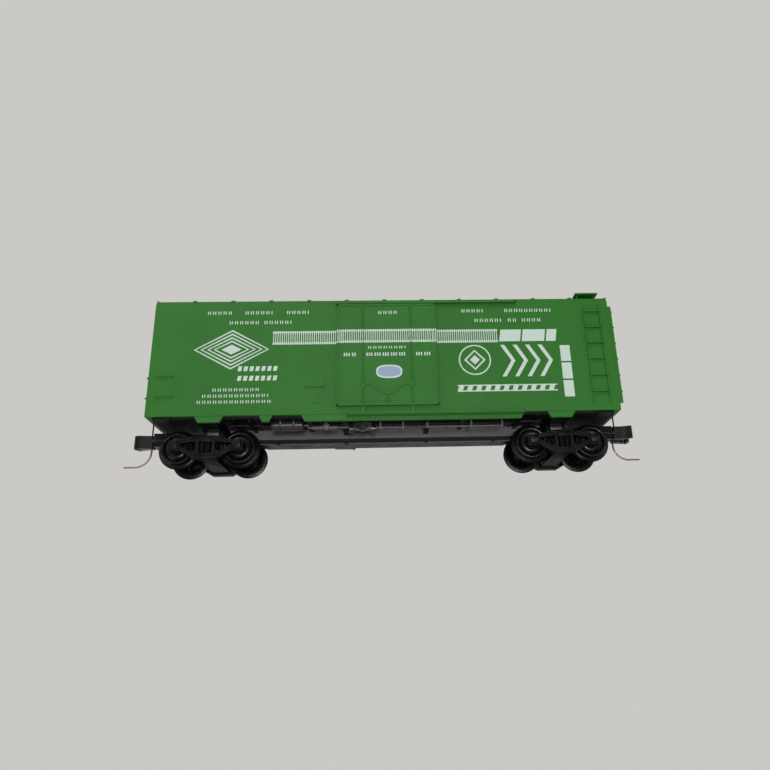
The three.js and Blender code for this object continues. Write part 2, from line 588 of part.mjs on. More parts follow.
function couplerSpring(name) {
  return piece(name, solid(wire(new Helix(), SPRING.wire, SPRING.turns * 8, 4)), BRONZE);
}

function coupler(suffix) {
  const group = new THREE.Group();
  group.add(couplerHead("coupler_head_" + suffix), couplerKnuckle("coupler_knuckle_" + suffix),
    tripPin("trip_pin_" + suffix), couplerSpring("coupler_spring_" + suffix));
  group.position.x = POST.x;
  return group;
}

function truck(suffix) {
  const group = new THREE.Group();
  const half = TRUCK.wheelbase / 2;
  group.add(truckFrame("truck_frame_" + suffix), couplerLid("coupler_lid_" + suffix), coupler(suffix),
    wheelset(suffix + "_outer", half), wheelset(suffix + "_inner", -half));
  return group;
}

// ---- The car ----
const car = new THREE.Group();
car.position.z = WHEEL.flangeDepth;

const farDoor = doorPanel("door_far");
farDoor.rotation.z = HALF_TURN;

const handBrake = brakeWheel();
handBrake.position.set(END_X + BRAKE.depth + 0.4, BRAKE.y, BRAKE.z);

const pins = [kingPin("king_pin_a"), kingPin("king_pin_b")];
const trucks = [truck("a"), truck("b")];
[1, -1].forEach((side, i) => {
  pins[i].position.x = side * TRUCK.centre;
  trucks[i].position.x = side * TRUCK.centre;
});
trucks[1].rotation.z = HALF_TURN;

car.add(bodyShell(), doorPanel("door_near"), farDoor, runningBoard(), handBrake);
car.add(underframe(), ballastPlate(), ...pins, ...trucks);

export default car;
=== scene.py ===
"""Looks for a 1:160 model of a 40 ft plug-door box car: green body, black underframe, trucks and couplers.

Pieces are built in millimetres with heights above the top of the rail, and are turned into metres in the
frame's own axes when they are made. Sizes that the frame fixes are read from it.
"""

import json
import math

import bmesh
import bpy
from mathutils import Matrix, Vector


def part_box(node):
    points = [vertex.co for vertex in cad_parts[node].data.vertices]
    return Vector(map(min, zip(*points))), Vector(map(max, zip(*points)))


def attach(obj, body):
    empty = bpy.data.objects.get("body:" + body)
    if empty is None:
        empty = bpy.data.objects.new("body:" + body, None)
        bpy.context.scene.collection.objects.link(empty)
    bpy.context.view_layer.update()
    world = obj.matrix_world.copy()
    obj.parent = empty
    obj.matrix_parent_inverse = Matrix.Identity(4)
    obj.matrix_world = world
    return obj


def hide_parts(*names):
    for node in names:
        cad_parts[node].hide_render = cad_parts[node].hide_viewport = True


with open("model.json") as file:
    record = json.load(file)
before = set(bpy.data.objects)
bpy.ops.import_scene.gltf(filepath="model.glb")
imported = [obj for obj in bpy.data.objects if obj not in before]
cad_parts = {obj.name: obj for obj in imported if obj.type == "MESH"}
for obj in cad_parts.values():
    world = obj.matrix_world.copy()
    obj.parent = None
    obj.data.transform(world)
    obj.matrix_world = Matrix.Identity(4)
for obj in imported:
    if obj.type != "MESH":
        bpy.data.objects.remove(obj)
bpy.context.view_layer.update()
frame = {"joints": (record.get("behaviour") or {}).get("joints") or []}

MM = 0.001
WHEEL_RADIUS = 2.62
FLANGE = 0.7


def joint_at(name):
    """A joint's position in millimetres."""
    found = [joint for joint in frame["joints"] if joint["name"] == name]
    return Vector(found[0]["pos_m"]) / MM


RAIL = joint_at("wheelset_a_outer_spin").z - WHEEL_RADIUS


def cad_box(node):
    """A node's lowest and highest corners in millimetres, with z above the rail."""
    low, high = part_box(node)
    lift = Vector((0, 0, RAIL))
    return Vector(low) / MM - lift, Vector(high) / MM - lift


# ---- Sizes ----
TRUCK_X = joint_at("truck_a_swivel").x
AXLE_X = joint_at("wheelset_a_outer_spin").x
POST_X = joint_at("coupler_a_swing").x
POST_Z = joint_at("coupler_a_swing").z - RAIL
HALF_BASE = AXLE_X - TRUCK_X

END_X = 39.2
SIDE_Y = 9.15
SILL = 6.95
EAVE = 27.7
PEAK = 28.75
WALL = 0.8
BITE = 0.1  # how far a part on a wall or under the floor runs into it
PANELS = 12
PANEL_PITCH = 2 * END_X / PANELS
ROOF_SLOPE = (PEAK - EAVE) / SIDE_Y

DOOR_LOW, DOOR_HIGH = cad_box("door_near")
DOOR_BACK = -SIDE_Y - 0.05
DOOR_FACE = DOOR_BACK - 0.4
DOOR_MID = (DOOR_LOW.x + DOOR_HIGH.x) / 2
DOOR_BOTTOM = DOOR_LOW.z + 1.33
BAR = 4.1
SLIDE_END = DOOR_HIGH.x + 14.15
TRACK_START = DOOR_LOW.x + 1.7
TRACK_FACE = DOOR_FACE - 0.05
BRACKET_PITCH = 4.3

LADDER_X = 34.7
GRAB_X = 35.1
LADDER_WIDTH = 3.05
LADDER_SPAN = (8.2, 26.1)
RUNGS = [10.25 + 2.95 * i for i in range(6)]
GRAB_HEIGHTS = (10.3, 13.85)

SILL_FOOT = cad_box("underframe")[0].z + 0.8
SILL_WEB = 4.9
DRAFT_X = TRUCK_X - 2.6
FLOOR_UNDER = 6.6
FLOOR_TOP = 7.3
HUNG_TOP = FLOOR_UNDER + BITE
GEAR_Y = -6.5


# ---- Shapes. Each is a list of points and a list of faces ----
def skin(rings, closed=False, bevel=0.0, segments=2):
    """The closed surface through a run of rings that have the same number of points."""
    bm = bmesh.new()
    layers = [[bm.verts.new(point) for point in ring] for ring in rings]
    pairs = list(zip(layers, layers[1:]))
    if closed:
        pairs.append((layers[-1], layers[0]))
    else:
        bm.faces.new(layers[0])
        bm.faces.new(layers[-1])
    count = len(layers[0])
    for one, two in pairs:
        for i in range(count):
            j = (i + 1) % count
            bm.faces.new((one[i], one[j], two[j], two[i]))
    bmesh.ops.remove_doubles(bm, verts=bm.verts[:], dist=1e-5)
    return packed(bm, bevel, segments)


def packed(bm, bevel, segments):
    """The points and faces of a bmesh, with its sharp edges rounded. The bmesh is used up."""
    bmesh.ops.recalc_face_normals(bm, faces=bm.faces[:])
    if bevel:
        sharp = [e for e in bm.edges if len(e.link_faces) == 2 and e.calc_face_angle(0) > math.radians(28)]
        bmesh.ops.bevel(bm, geom=sharp, offset=bevel, segments=segments, profile=0.5, affect="EDGES",
                        clamp_overlap=True)
    bm.verts.index_update()
    points = [v.co.copy() for v in bm.verts]
    faces = [[v.index for v in face.verts] for face in bm.faces]
    bm.free()
    return points, faces


def along(axis, a, b, t):
    """A point from a section's two coordinates and its place along the axis."""
    return {"x": (t, a, b), "y": (a, t, b), "z": (a, b, t)}[axis]


def prism(axis, outline, span, bevel=0.0, segments=2):
    """An outline in the two other axes, in x, y, z order, carried along the axis."""
    return skin([[along(axis, a, b, t) for a, b in outline] for t in span], bevel=bevel, segments=segments)


def about(middle, half):
    """The span that reaches as far to both sides of a place."""
    return middle - half, middle + half


def on_side(out):
    """The span in y of a part that stands out from the near side."""
    return -SIDE_Y - out, BITE - SIDE_Y


def on_end(out):
    """The span in x of a part that stands out from the +X end."""
    return END_X - BITE, END_X + out


def box(x, y, z, bevel=0.0, segments=2):
    return prism("z", [(x[0], y[0]), (x[1], y[0]), (x[1], y[1]), (x[0], y[1])], z, bevel, segments)


def turns(count):
    """The angles of even steps round a full turn."""
    return [2 * math.pi * i / count for i in range(count)]


def mirrored_outline(right):
    """An outline that is symmetrical about x = 0, from its right half run anticlockwise."""
    return right + [(-x, z) for x, z in reversed(right)]


def circle(a, b, radius, sides):
    return [(a + radius * math.cos(t), b + radius * math.sin(t)) for t in turns(sides)]


def rod(axis, centre, radius, span, sides=20, bevel=0.0):
    return prism(axis, circle(*centre, radius, sides), span, bevel)


def lathe(axis, centre, profile, sides=24):
    """A profile of (radius, place along the axis) turned round the axis."""
    a, b, start = centre
    rings = []
    for turn in turns(sides):
        ca, sa = math.cos(turn), math.sin(turn)
        rings.append([along(axis, a + r * ca, b + r * sa, start + t) for r, t in profile])
    return skin(rings, closed=True)


def tube(path, radius, sides=10, closed=False):
    """A round wire along a path."""
    path = [Vector(p) for p in path]
    count = len(path)
    rings = []
    side = None
    for i, point in enumerate(path):
        before = path[(i - 1) % count] if closed else path[max(i - 1, 0)]
        after = path[(i + 1) % count] if closed else path[min(i + 1, count - 1)]
        tangent = (after - before).normalized()
        if side is None:
            start = Vector((0, 0, 1)) if abs(tangent.z) < 0.9 else Vector((1, 0, 0))
            side = tangent.cross(start).normalized()
        side = (side - tangent * side.dot(tangent)).normalized()
        other = tangent.cross(side)
        rings.append([point + side * a + other * b for a, b in circle(0, 0, radius, sides)])
    return skin(rings, closed=closed)


def rounded(start, corner, end, steps):
    """A curve from start to end that leans towards the corner between them."""
    places = [i / steps for i in range(steps + 1)]
    return [start * (1 - t) ** 2 + corner * (2 * t * (1 - t)) + end * t ** 2 for t in places]


def bent(points, radius):
    """A path with each inner corner rounded."""
    points = [Vector(p) for p in points]
    path = [points[0]]
    for before, corner, after in zip(points, points[1:], points[2:]):
        start = corner + (before - corner).normalized() * min(radius, (before - corner).length / 2)
        end = corner + (after - corner).normalized() * min(radius, (after - corner).length / 2)
        path += rounded(start, corner, end, 5)
    return [*path, points[-1]]


def coil(axis, centre, radius, span, loops, steps):
    """The path of a helical spring about the axis."""
    count = loops * steps
    path = []
    for i in range(count + 1):
        turn = 2 * math.pi * i / steps
        a, b = centre[0] + radius * math.cos(turn), centre[1] + radius * math.sin(turn)
        path.append(along(axis, a, b, span[0] + (span[1] - span[0]) * i / count))
    return path


def dome(axis, centre, radius, height, sides=10):
    """A low round rivet or bolt head standing on a plane. Height may be negative."""
    foot = -height * 0.4
    profile = [(0, foot), (radius, foot), (radius, 0), (radius * 0.75, height * 0.66), (0, height)]
    return lathe(axis, centre, profile, sides)


def moved(part, x=0.0, y=0.0, z=0.0):
    shift = Vector((x, y, z))
    return [p + shift for p in part[0]], part[1]


def placed(part, matrix):
    """A copy under a matrix, with its faces turned back out if the matrix mirrors it."""
    faces = part[1] if matrix.determinant() > 0 else [face[::-1] for face in part[1]]
    return [matrix @ p for p in part[0]], faces


HALF_TURN = Matrix.Rotation(math.pi, 4, "Z")
FLIP_X = Matrix.Diagonal((-1, 1, 1, 1))
FLIP_Y = Matrix.Diagonal((1, -1, 1, 1))


def with_copies(parts, *matrices):
    return parts + [placed(part, matrix) for matrix in matrices for part in parts]


def both_sides(parts):
    return with_copies(parts, HALF_TURN)


def loose_object(parts):
    """An object outside the scene's materials, used only as an operand."""
    points, faces = joined(parts)
    mesh = bpy.data.meshes.new("operand")
    mesh.from_pydata(points, [], faces)
    obj = bpy.data.objects.new("operand", mesh)
    bpy.context.collection.objects.link(obj)
    return obj


def joined(parts):
    points, faces = [], []
    for some, polygons in parts:
        first = len(points)
        points.extend(some)
        faces.extend([[first + i for i in polygon] for polygon in polygons])
    return points, faces


def cut(whole, tools, bevel=0.0, segments=2):
    """A shape with others cut out of it, then its sharp edges rounded."""
    target = loose_object([whole])
    cutters = [loose_object([tool]) for tool in tools]
    for cutter in cutters:
        modifier = target.modifiers.new("cut", "BOOLEAN")
        modifier.operation = "DIFFERENCE"
        modifier.solver = "EXACT"
        modifier.object = cutter
    bpy.context.view_layer.update()
    result = target.evaluated_get(bpy.context.evaluated_depsgraph_get()).to_mesh()
    bm = bmesh.new()
    bm.from_mesh(result)
    bmesh.ops.dissolve_limit(bm, angle_limit=math.radians(1), verts=bm.verts[:], edges=bm.edges[:])
    for obj in [target, *cutters]:
        bpy.data.objects.remove(obj)
    return packed(bm, bevel, segments)


def make(name, parts, material, body, node=None, origin=(0, 0, 0)):
    """Turn shapes into one object in metres that rides on a body and may stand for a CAD node."""
    points, faces = joined(parts)
    origin = Vector(origin)
    mesh = bpy.data.meshes.new(name)
    mesh.from_pydata([(p - origin) * MM for p in points], [], faces)
    mesh.polygons.foreach_set("use_smooth", [True] * len(mesh.polygons))
    mesh.set_sharp_from_angle(angle=math.radians(42))
    mesh.materials.append(material)
    obj = bpy.data.objects.new(name, mesh)
    obj.location = (origin + Vector((0, 0, RAIL))) * MM
    bpy.context.collection.objects.link(obj)
    weighted = obj.modifiers.new("weighted_normals", "WEIGHTED_NORMAL")
    weighted.keep_sharp = True
    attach(obj, body)
    if node:
        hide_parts(node)


# ---- Materials ----
def fill_inputs(tree, node, inputs):
    """Set a node's inputs, where each is a value, a colour or another node's output."""
    for key, value in inputs.items():
        socket = node.inputs[key]
        if isinstance(value, bpy.types.NodeSocket):
            tree.links.new(value, socket)
        elif socket.type == "RGBA":
            socket.default_value = (*value, 1)
        else:
            socket.default_value = value


def add_node(tree, kind, inputs, **settings):
    node = tree.nodes.new(kind)
    for name, value in settings.items():
        setattr(node, name, value)
    fill_inputs(tree, node, inputs)
    return node


class Graph:
    """A material's nodes, with texture coordinates in millimetres."""

    def __init__(self, name):
        self.material = bpy.data.materials.new(name)
        self.material.use_nodes = True
        self.tree = self.material.node_tree
        self.shader = self.tree.nodes["Principled BSDF"]
        metres = add_node(self.tree, "ShaderNodeTexCoord", {}).outputs["Object"]
        self.place = self.stretched(metres, (1 / MM, 1 / MM, 1 / MM))

    def stretched(self, vector, scale):
        return add_node(self.tree, "ShaderNodeMapping", {"Vector": vector, "Scale": scale}).outputs[0]

    def noise(self, scale, detail=3.0, vector=None, distortion=0.0):
        inputs = {"Scale": scale, "Detail": detail, "Distortion": distortion, "Vector": vector or self.place}
        return add_node(self.tree, "ShaderNodeTexNoise", inputs).outputs["Fac"]

    def ranged(self, value, low, high, start=0.3, stop=0.7):
        """A noise value carried from start..stop to low..high."""
        inputs = {"Value": value, "From Min": start, "From Max": stop, "To Min": low, "To Max": high}
        return add_node(self.tree, "ShaderNodeMapRange", inputs).outputs["Result"]

    def blend(self, factor, one, two):
        """A colour between two, where each is a colour or another node's output."""
        return add_node(self.tree, "ShaderNodeMix", {0: factor, 6: one, 7: two}, data_type="RGBA").outputs[2]

    def bump(self, height, depth, strength, normal=None):
        """A bump of a depth in millimetres, laid over another if there is one."""
        inputs = {"Height": height, "Distance": depth * MM, "Strength": strength}
        if normal:
            inputs["Normal"] = normal
        return add_node(self.tree, "ShaderNodeBump", inputs).outputs["Normal"]

    def finish(self, colour, roughness, normal, metallic=0.0, gloss=0.75):
        fill_inputs(self.tree, self.shader, {
            "Base Color": colour, "Roughness": roughness, "Normal": normal, "Metallic": metallic,
            "Specular IOR Level": gloss,
        })
        return self.material


def toned(colour, factor):
    return tuple(channel * factor for channel in colour)


def moulded_plastic(name, colour, dusty, roughness, grain=0.012, gloss=0.6):
    """Moulded plastic: slow mottling, a little settled dust and a fine moulded grain."""
    graph = Graph(name)
    mottled = graph.blend(graph.ranged(graph.noise(0.12, 4), 0, 1), toned(colour, 0.93), toned(colour, 1.07))
    dust = graph.ranged(graph.noise(1.4, 8, distortion=0.6), 0, 0.22, 0.52, 0.8)
    tinted = graph.blend(dust, mottled, dusty)
    rough = graph.ranged(graph.noise(0.35, 5), roughness - 0.05, roughness + 0.07)
    waves = graph.bump(graph.noise(0.25, 2), 0.05, 0.5)
    fine = graph.bump(graph.noise(11, 3), grain, 0.7, waves)
    return graph.finish(tinted, rough, fine, gloss=gloss)


def turned_plastic(name, colour, roughness):
    """Hard black plastic with the fine rings that a turned mould leaves about the piece's Y axis."""
    graph = Graph(name)
    mottled = graph.blend(graph.ranged(graph.noise(0.6, 4), 0, 1), toned(colour, 0.85), toned(colour, 1.25))
    inputs = {"Vector": graph.place, "Scale": 2.4, "Distortion": 0.4}
    rings = add_node(graph.tree, "ShaderNodeTexWave", inputs, wave_type="RINGS", rings_direction="Y")
    rough = graph.ranged(graph.noise(1.5, 4), roughness - 0.06, roughness + 0.08)
    ringed = graph.bump(rings.outputs["Fac"], 0.01, 0.5)
    fine = graph.bump(graph.noise(14, 2), 0.006, 0.5, ringed)
    return graph.finish(mottled, rough, fine, gloss=0.48)


def ink(name, colour, under, roughness):
    """Pad-printed ink: nearly opaque, a little thin in places, with a grainy edge to its cover."""
    graph = Graph(name)
    cover = graph.ranged(graph.noise(5, 6), 0, 0.3, 0.56, 0.85)
    tint = graph.blend(graph.ranged(graph.noise(0.4, 3), 0, 1), toned(colour, 0.96), colour)
    thin = graph.blend(cover, tint, under)
    rough = graph.ranged(graph.noise(2, 4), roughness - 0.05, roughness + 0.1)
    return graph.finish(thin, rough, graph.bump(graph.noise(16, 3), 0.006, 0.6))


def paper(name, colour, fibre, roughness):
    graph = Graph(name)
    drawn = graph.stretched(graph.place, (1, 1, 4))
    tint = graph.blend(graph.ranged(graph.noise(3, 8, drawn), 0, 1), colour, fibre)
    rough = graph.ranged(graph.noise(4, 3), roughness - 0.05, roughness + 0.05)
    return graph.finish(tint, rough, graph.bump(graph.noise(9, 6, drawn), 0.01, 0.6))


def metal(name, colour, tarnish, roughness, stretch):
    """Drawn or rolled metal, with fine marks along one axis and tarnish in patches."""
    graph = Graph(name)
    drawn = graph.stretched(graph.place, stretch)
    patches = graph.ranged(graph.noise(0.5, 6, distortion=0.5), 0, 0.8, 0.45, 0.75)
    marks = graph.noise(6, 4, drawn)
    streaked = graph.blend(graph.ranged(marks, 0, 1), toned(colour, 0.88), toned(colour, 1.08))
    tint = graph.blend(patches, streaked, tarnish)
    rough = graph.ranged(marks, roughness - 0.08, roughness + 0.12)
    return graph.finish(tint, rough, graph.bump(marks, 0.01, 0.5), metallic=1.0, gloss=0.5)


GREEN = moulded_plastic("green_plastic", (0.020, 0.157, 0.0128), (0.045, 0.187, 0.033), 0.5, gloss=0.375)
BLACK = moulded_plastic("black_plastic", (0.0027, 0.0027, 0.0039), (0.009, 0.009, 0.0105), 0.42, gloss=0.24)
# The underframe's black plastic drawn again in a lighter grey: painted light, for the parts of it that face
# the lamps.
PAINTED_LIT_BLACK = moulded_plastic("grey_plastic", (0.105, 0.094, 0.097), (0.165, 0.152, 0.146), 0.42)
GLOSSY = moulded_plastic("glossy_plastic", (0.015, 0.0127, 0.0135), (0.045, 0.042, 0.042), 0.24, gloss=0.9)
ACETAL = turned_plastic("black_acetal", (0.0033, 0.0033, 0.0045), 0.27)
SMOOTH_ACETAL = moulded_plastic(
    "moulded_acetal", (0.0036, 0.0035, 0.0039), (0.009, 0.009, 0.009), 0.34, grain=0.006, gloss=0.45)
INK = ink("white_ink", (0.56, 0.68, 0.61), (0.24, 0.39, 0.225), 0.5)
LABEL = paper("label_paper", (0.222, 0.328, 0.50), (0.34, 0.43, 0.56), 0.7)
BALLAST = metal("rolled_steel", (0.58, 0.58, 0.59), (0.32, 0.27, 0.23), 0.38, (0.15, 6, 6))
PIN_STEEL = metal("browned_steel", (0.45, 0.33, 0.24), (0.21, 0.135, 0.09), 0.34, (3, 3, 0.5))
BRONZE = metal("spring_bronze", (0.72, 0.47, 0.24), (0.42, 0.26, 0.13), 0.3, (3, 3, 3))


# ---- Body shell ----
def roof_height(y):
    return PEAK - ROOF_SLOPE * abs(y)


def body_outline(half, base, drop, fillet):
    """The body's cross-section as (y, z), lowered by drop at the roof and rounded at the eaves."""
    corner = Vector((half, EAVE - drop))
    below = corner - Vector((0, fillet))
    inward = corner + Vector((-fillet, fillet * ROOF_SLOPE))
    right = [(half, base), *(tuple(point) for point in rounded(below, corner, inward, 6))]
    left = [(-y, z) for y, z in reversed(right)]
    return [*right, (0, PEAK - drop), *left]


def walls():
    outside = prism("x", body_outline(SIDE_Y, SILL, 0, 0.45), (-END_X, END_X))
    inside = prism("x", body_outline(SIDE_Y - WALL, SILL - 1, WALL, 0.3), (WALL - END_X, END_X - WALL))
    opening = box(about(DOOR_MID, 7.7), (-SIDE_Y - 1, WALL + 1 - SIDE_Y), (8.7, 26.5))
    return cut(outside, [inside, opening, placed(opening, HALF_TURN)], 0.13, 3)


def skirts():
    """The tabs that hang below the side sill. The long one is set back under the door's track."""
    front, foot, top = -SIDE_Y + 0.1, 5.87, SILL + 0.3
    groove = box((TRACK_START, SLIDE_END), (front - 0.1, front + 0.3), (foot - 0.37, DOOR_LOW.z - 0.3))
    parts = []
    for start, end in ((-31.3, -26.6), (-20.9, -18.6), (-14, 23), (26.8, 31.5)):
        left = [(start, top), (start, SILL), (start + 0.6, foot)]
        right = [(end - 0.6, foot), (end, SILL), (end, top)]
        parts.append(cut(prism("y", left + right, (front, front + 0.6)), [groove], 0.07))
    return parts


def roof_strip(inner, outer, rise):
    """The section, as (y, z), of a sheet that lies on one slope of the roof."""
    corners = ((inner, -BITE), (outer, -BITE), (outer, rise), (inner, rise))
    return [(y, roof_height(y) + lift) for y, lift in corners]


def roof_panel(start):
    """The two raised sheets between neighbouring roof seams."""
    left, right = start + 0.75, start + PANEL_PITCH - 0.75
    sheet = prism("x", roof_strip(1.75, SIDE_Y - 0.75, 0.16), (left, right), 0.15, 3)
    edge = prism("x", roof_strip(1.6, SIDE_Y - 0.5, 0.05), (left - 0.2, right + 0.2), 0.04)
    return with_copies([sheet, edge], FLIP_Y)


def roof_seam(x):
    """A seam cap that follows the roof and folds over the eaves."""
    outer = SIDE_Y + 0.1
    under, over = -0.35, 0.16
    outline = [(-outer, EAVE + under), (0, PEAK + under), (outer, EAVE + under),
               (outer, EAVE + over - 0.1), (0, PEAK + over), (-outer, EAVE + over - 0.1)]
    return prism("x", outline, about(x, 0.34), 0.08)


def roof():
    parts = [box((0.02 - END_X, END_X - 0.02), (-1.5, 1.5), (roof_height(1.5) - 0.3, PEAK + 0.04), 0.03)]
    for i in range(PANELS):
        start = i * PANEL_PITCH - END_X
        parts += roof_panel(start)
        if i:
            parts.append(roof_seam(start))
    for x in (-END_X + 0.16, END_X - 0.16):
        outer = SIDE_Y - 0.1
        lifts = ((-outer, -0.2), (0, -0.2), (outer, -0.2), (outer, 0.12), (0, 0.16), (-outer, 0.12))
        outline = [(y, roof_height(y) + lift) for y, lift in lifts]
        parts.append(prism("x", outline, about(x, 0.15), 0.05))
    return parts


def end_rib(z, reach, height, depth):
    """One pressed rib of the +X end: a smooth swelling that tapers to a point at both sides."""
    rings = []
    stations = 25
    for i in range(stations):
        along_y = -reach + 2 * reach * i / (stations - 1)
        fade = min(1.0, (reach - abs(along_y)) / 1.6)
        size = max(0.12, math.sin(fade * math.pi / 2))
        ring = [(END_X - 0.2, along_y, z - height * size / 2)]
        for k in range(9):
            t = k / 8
            bulge = depth * size * math.sin(math.pi * t) ** 0.8
            ring.append((END_X - 0.02 + bulge, along_y, z + height * size * (t - 0.5)))
        ring.append((END_X - 0.2, along_y, z + height * size / 2))
        rings.append(ring)
    return skin(rings)


def end_pressings():
    """The ribs, darts, centre seam and corner rivets of the +X end."""
    ribs, lowest, pitch = 10, 8.6, 1.83
    seam = lowest + pitch * (ribs - 1) / 2
    corner_y = 8.75
    rivet = dome("x", (0, 0, END_X + 0.1), 0.085, 0.07)
    darts = []
    for i in range(ribs - 1):
        z = lowest + pitch * (i + 0.5)
        if abs(z - seam) > 0.1:
            darts.append(moved(end_rib(0, 1.5, 0.7, 0.26), y=5.6, z=z))
    post = [box(on_end(0.1), about(corner_y, 0.28), (SILL + 0.1, EAVE - 0.5), 0.06)]
    post += [moved(rivet, y=corner_y, z=7.9 + 0.7 * i) for i in range(27)]
    return [
        *[end_rib(lowest + pitch * i, 6.9, 1.3, 0.36) for i in range(ribs)],
        *with_copies(darts + post, FLIP_Y),
        box(on_end(0.1), (-8.6, 8.6), about(seam, 0.22), 0.05),
        box(on_end(0.12), (-8.9, 8.9), (SILL + 0.05, SILL + 0.6), 0.06),
        box(on_end(0.12), (-8.7, 8.7), (26.6, 27.0), 0.06),
        *[moved(rivet, y=0.76 * (i - 10.5), z=seam) for i in range(22)],
    ]


def grab(start, end, z, plane, out, axis="x"):
    """A grab iron with its feet in a wall. Along x it stands on a side, along y on an end."""
    points = [(start, plane), (start, plane + out), (end, plane + out), (end, plane)]
    path = [(a, b, z) if axis == "x" else (b, a, z) for a, b in points]
    return tube(bent(path, 0.14), 0.085, 10)


def side_ladder():
    parts = []
    right = LADDER_X + LADDER_WIDTH
    for x in (LADDER_X, right - 0.25):
        parts.append(box((x, x + 0.25), on_side(0.3), LADDER_SPAN, 0.06))
    for z in RUNGS:
        parts.append(box((LADDER_X - 0.02, right + 0.02), on_side(0.5), about(z, 0.14), 0.06, 3))
        for x in (LADDER_X + 0.12, right - 0.12):
            parts.append(dome("y", (x, z, -SIDE_Y - 0.5), 0.07, -0.05))
    return parts


def end_ladder():
    near = 0.2 - SIDE_Y
    far = near + LADDER_WIDTH - 0.2
    parts = []
    for y in (near, far - 0.25):
        parts.append(box(on_end(0.68), (y, y + 0.25), LADDER_SPAN, 0.06))
    for z in RUNGS:
        parts.append(box(on_end(0.82), (near - 0.02, far + 0.02), about(z, 0.12), 0.07, 3))
    return parts


def grab_irons():
    parts = []
    for z in GRAB_HEIGHTS:
        parts.append(grab(-GRAB_X - 2.8, -GRAB_X, z, -SIDE_Y + 0.1, -0.4))
        parts.append(grab(0.4 - SIDE_Y, 3.2 - SIDE_Y, z, -END_X + 0.1, -0.5, "y"))
    return parts


def upper_track():
    """The door's top rail, with small brackets over it and a stop at its end."""
    z = DOOR_HIGH.z + 0.05
    inner, outer = BITE - SIDE_Y, TRACK_FACE - 0.15
    rail = [(inner, z + 0.22), (inner, z), (TRACK_FACE, z), (TRACK_FACE, z - 0.3), (outer, z - 0.3),
            (outer, z + 0.14), (TRACK_FACE - 0.05, z + 0.22)]
    bracket = [(inner, z + 0.2), (inner, z + 0.42), (-SIDE_Y - 0.1, z + 0.42), (TRACK_FACE, z + 0.2)]
    start = DOOR_LOW.x - 0.3
    parts = [prism("x", rail, (start, SLIDE_END), 0.04)]
    for i in range(8):
        x = start + 0.6 + BRACKET_PITCH * i
        parts.append(prism("x", bracket, (x, x + 0.3), 0.03))
    parts.append(box((SLIDE_END - 0.3, SLIDE_END), (outer, inner), (z - 0.3, z + 0.2), 0.05))
    return parts


def lower_track():
    """The door's bottom rail: a ledge with a lip over a shadowed recess, on small brackets."""
    z = DOOR_LOW.z
    inner, outer = BITE - SIDE_Y, TRACK_FACE - 0.15
    parts = [
        box((TRACK_START, SLIDE_END), (TRACK_FACE, inner), (z - 0.25, z - 0.02), 0.03),
        box((TRACK_START, SLIDE_END), (outer, TRACK_FACE), (z - 0.08, z + 0.2), 0.04),
        box((SLIDE_END - 0.3, SLIDE_END), (outer, inner), (z - 0.27, z + 0.2), 0.05),
    ]
    x = TRACK_START + BRACKET_PITCH
    while x < SLIDE_END - 0.5:
        parts.append(box((x, x + 0.4), (outer, TRACK_FACE), (z - 0.26, z), 0.04))
        x += BRACKET_PITCH
    return parts


def side_boards():
    """The small tack boards beside the door."""
    return [
        box((-13.5, -10.1), on_side(0.2), (11.7, 11.88), 0.05),
        box((-13.3, -10.3), on_side(0.06), (11.85, 13.6), 0.03),
        box((-12.7, -11.1), on_side(0.08), (8.9, 9.8), 0.04),
    ]


BRAKE = joint_at("brake_wheel_spin") - Vector((0, 0, RAIL))


def brake_housing():
    """The hand brake's gear housing, its chain rod and the platform below it, on the +X end."""
    y, z = BRAKE.y, BRAKE.z
    gear = 0.85
    parts = [
        box(on_end(gear), about(y, 1), about(z, 1), 0.25, 4),
        lathe("x", (y, z, END_X + 0.8), [(0, -0.2), (0.75, -0.2), (0.75, 0.05), (0.6, 0.13), (0, 0.13)], 28),
        box(on_end(0.5), about(y, 0.15), (8, z), 0.05),
        box(on_end(0.45), about(y, 0.32), (9.4, 9.9), 0.08),
        box(on_end(0.45), about(y, 0.32), (14.4, 14.9), 0.08),
    ]
    for dy in (-0.75, 0.75):
        for dz in (-0.75, 0.75):
            parts.append(dome("x", (y + dy, z + dz, END_X + gear), 0.1, 0.08))
    return parts + brake_platform((y - 1.8, y + 1.6), 17.5)


def brake_platform(span, z):
    """A slatted step on two struts, on the +X end."""
    inner, outer = on_end(1.35)
    strut = [(inner, z - 1.2), (END_X + 0.05, z - 1.2), (outer, z - 0.05), (outer, z + 0.1), (inner, z + 0.1)]
    parts = [box(on_end(1.7), about(edge, 0.08), (z, z + 0.28), 0.03) for edge in span]
    for i in range(8):
        parts.append(box(about(END_X + 0.1 + 0.215 * i, 0.07), span, (z + 0.05, z + 0.23), 0.02))
    for side in (span[0] + 0.6, span[1] - 0.6):
        parts.append(prism("y", strut, about(side, 0.12), 0.04))
    return parts


def build_shell():
    sided = skirts() + side_ladder() + end_ladder() + grab_irons() + upper_track() + lower_track()
    parts = [walls(), *roof(), *both_sides(sided + side_boards() + end_pressings()), *brake_housing()]
    make("body_shell_moulding", parts, GREEN, "car_body", "body_shell")


# ---- Doors ----
def on_door(out, inside=0.05):
    """The span in y of a part that stands out from the near door's face."""
    return DOOR_FACE - out, DOOR_FACE + inside


def door_boss(x, z, radius, edge, crown):
    """A round boss on the door, with its rim bevelled in to the crown."""
    profile = [(0, 0.1), (radius, 0.1), (radius, -edge), (crown, -0.22), (0, -0.22)]
    return lathe("y", (x, z, DOOR_FACE), profile, 24)


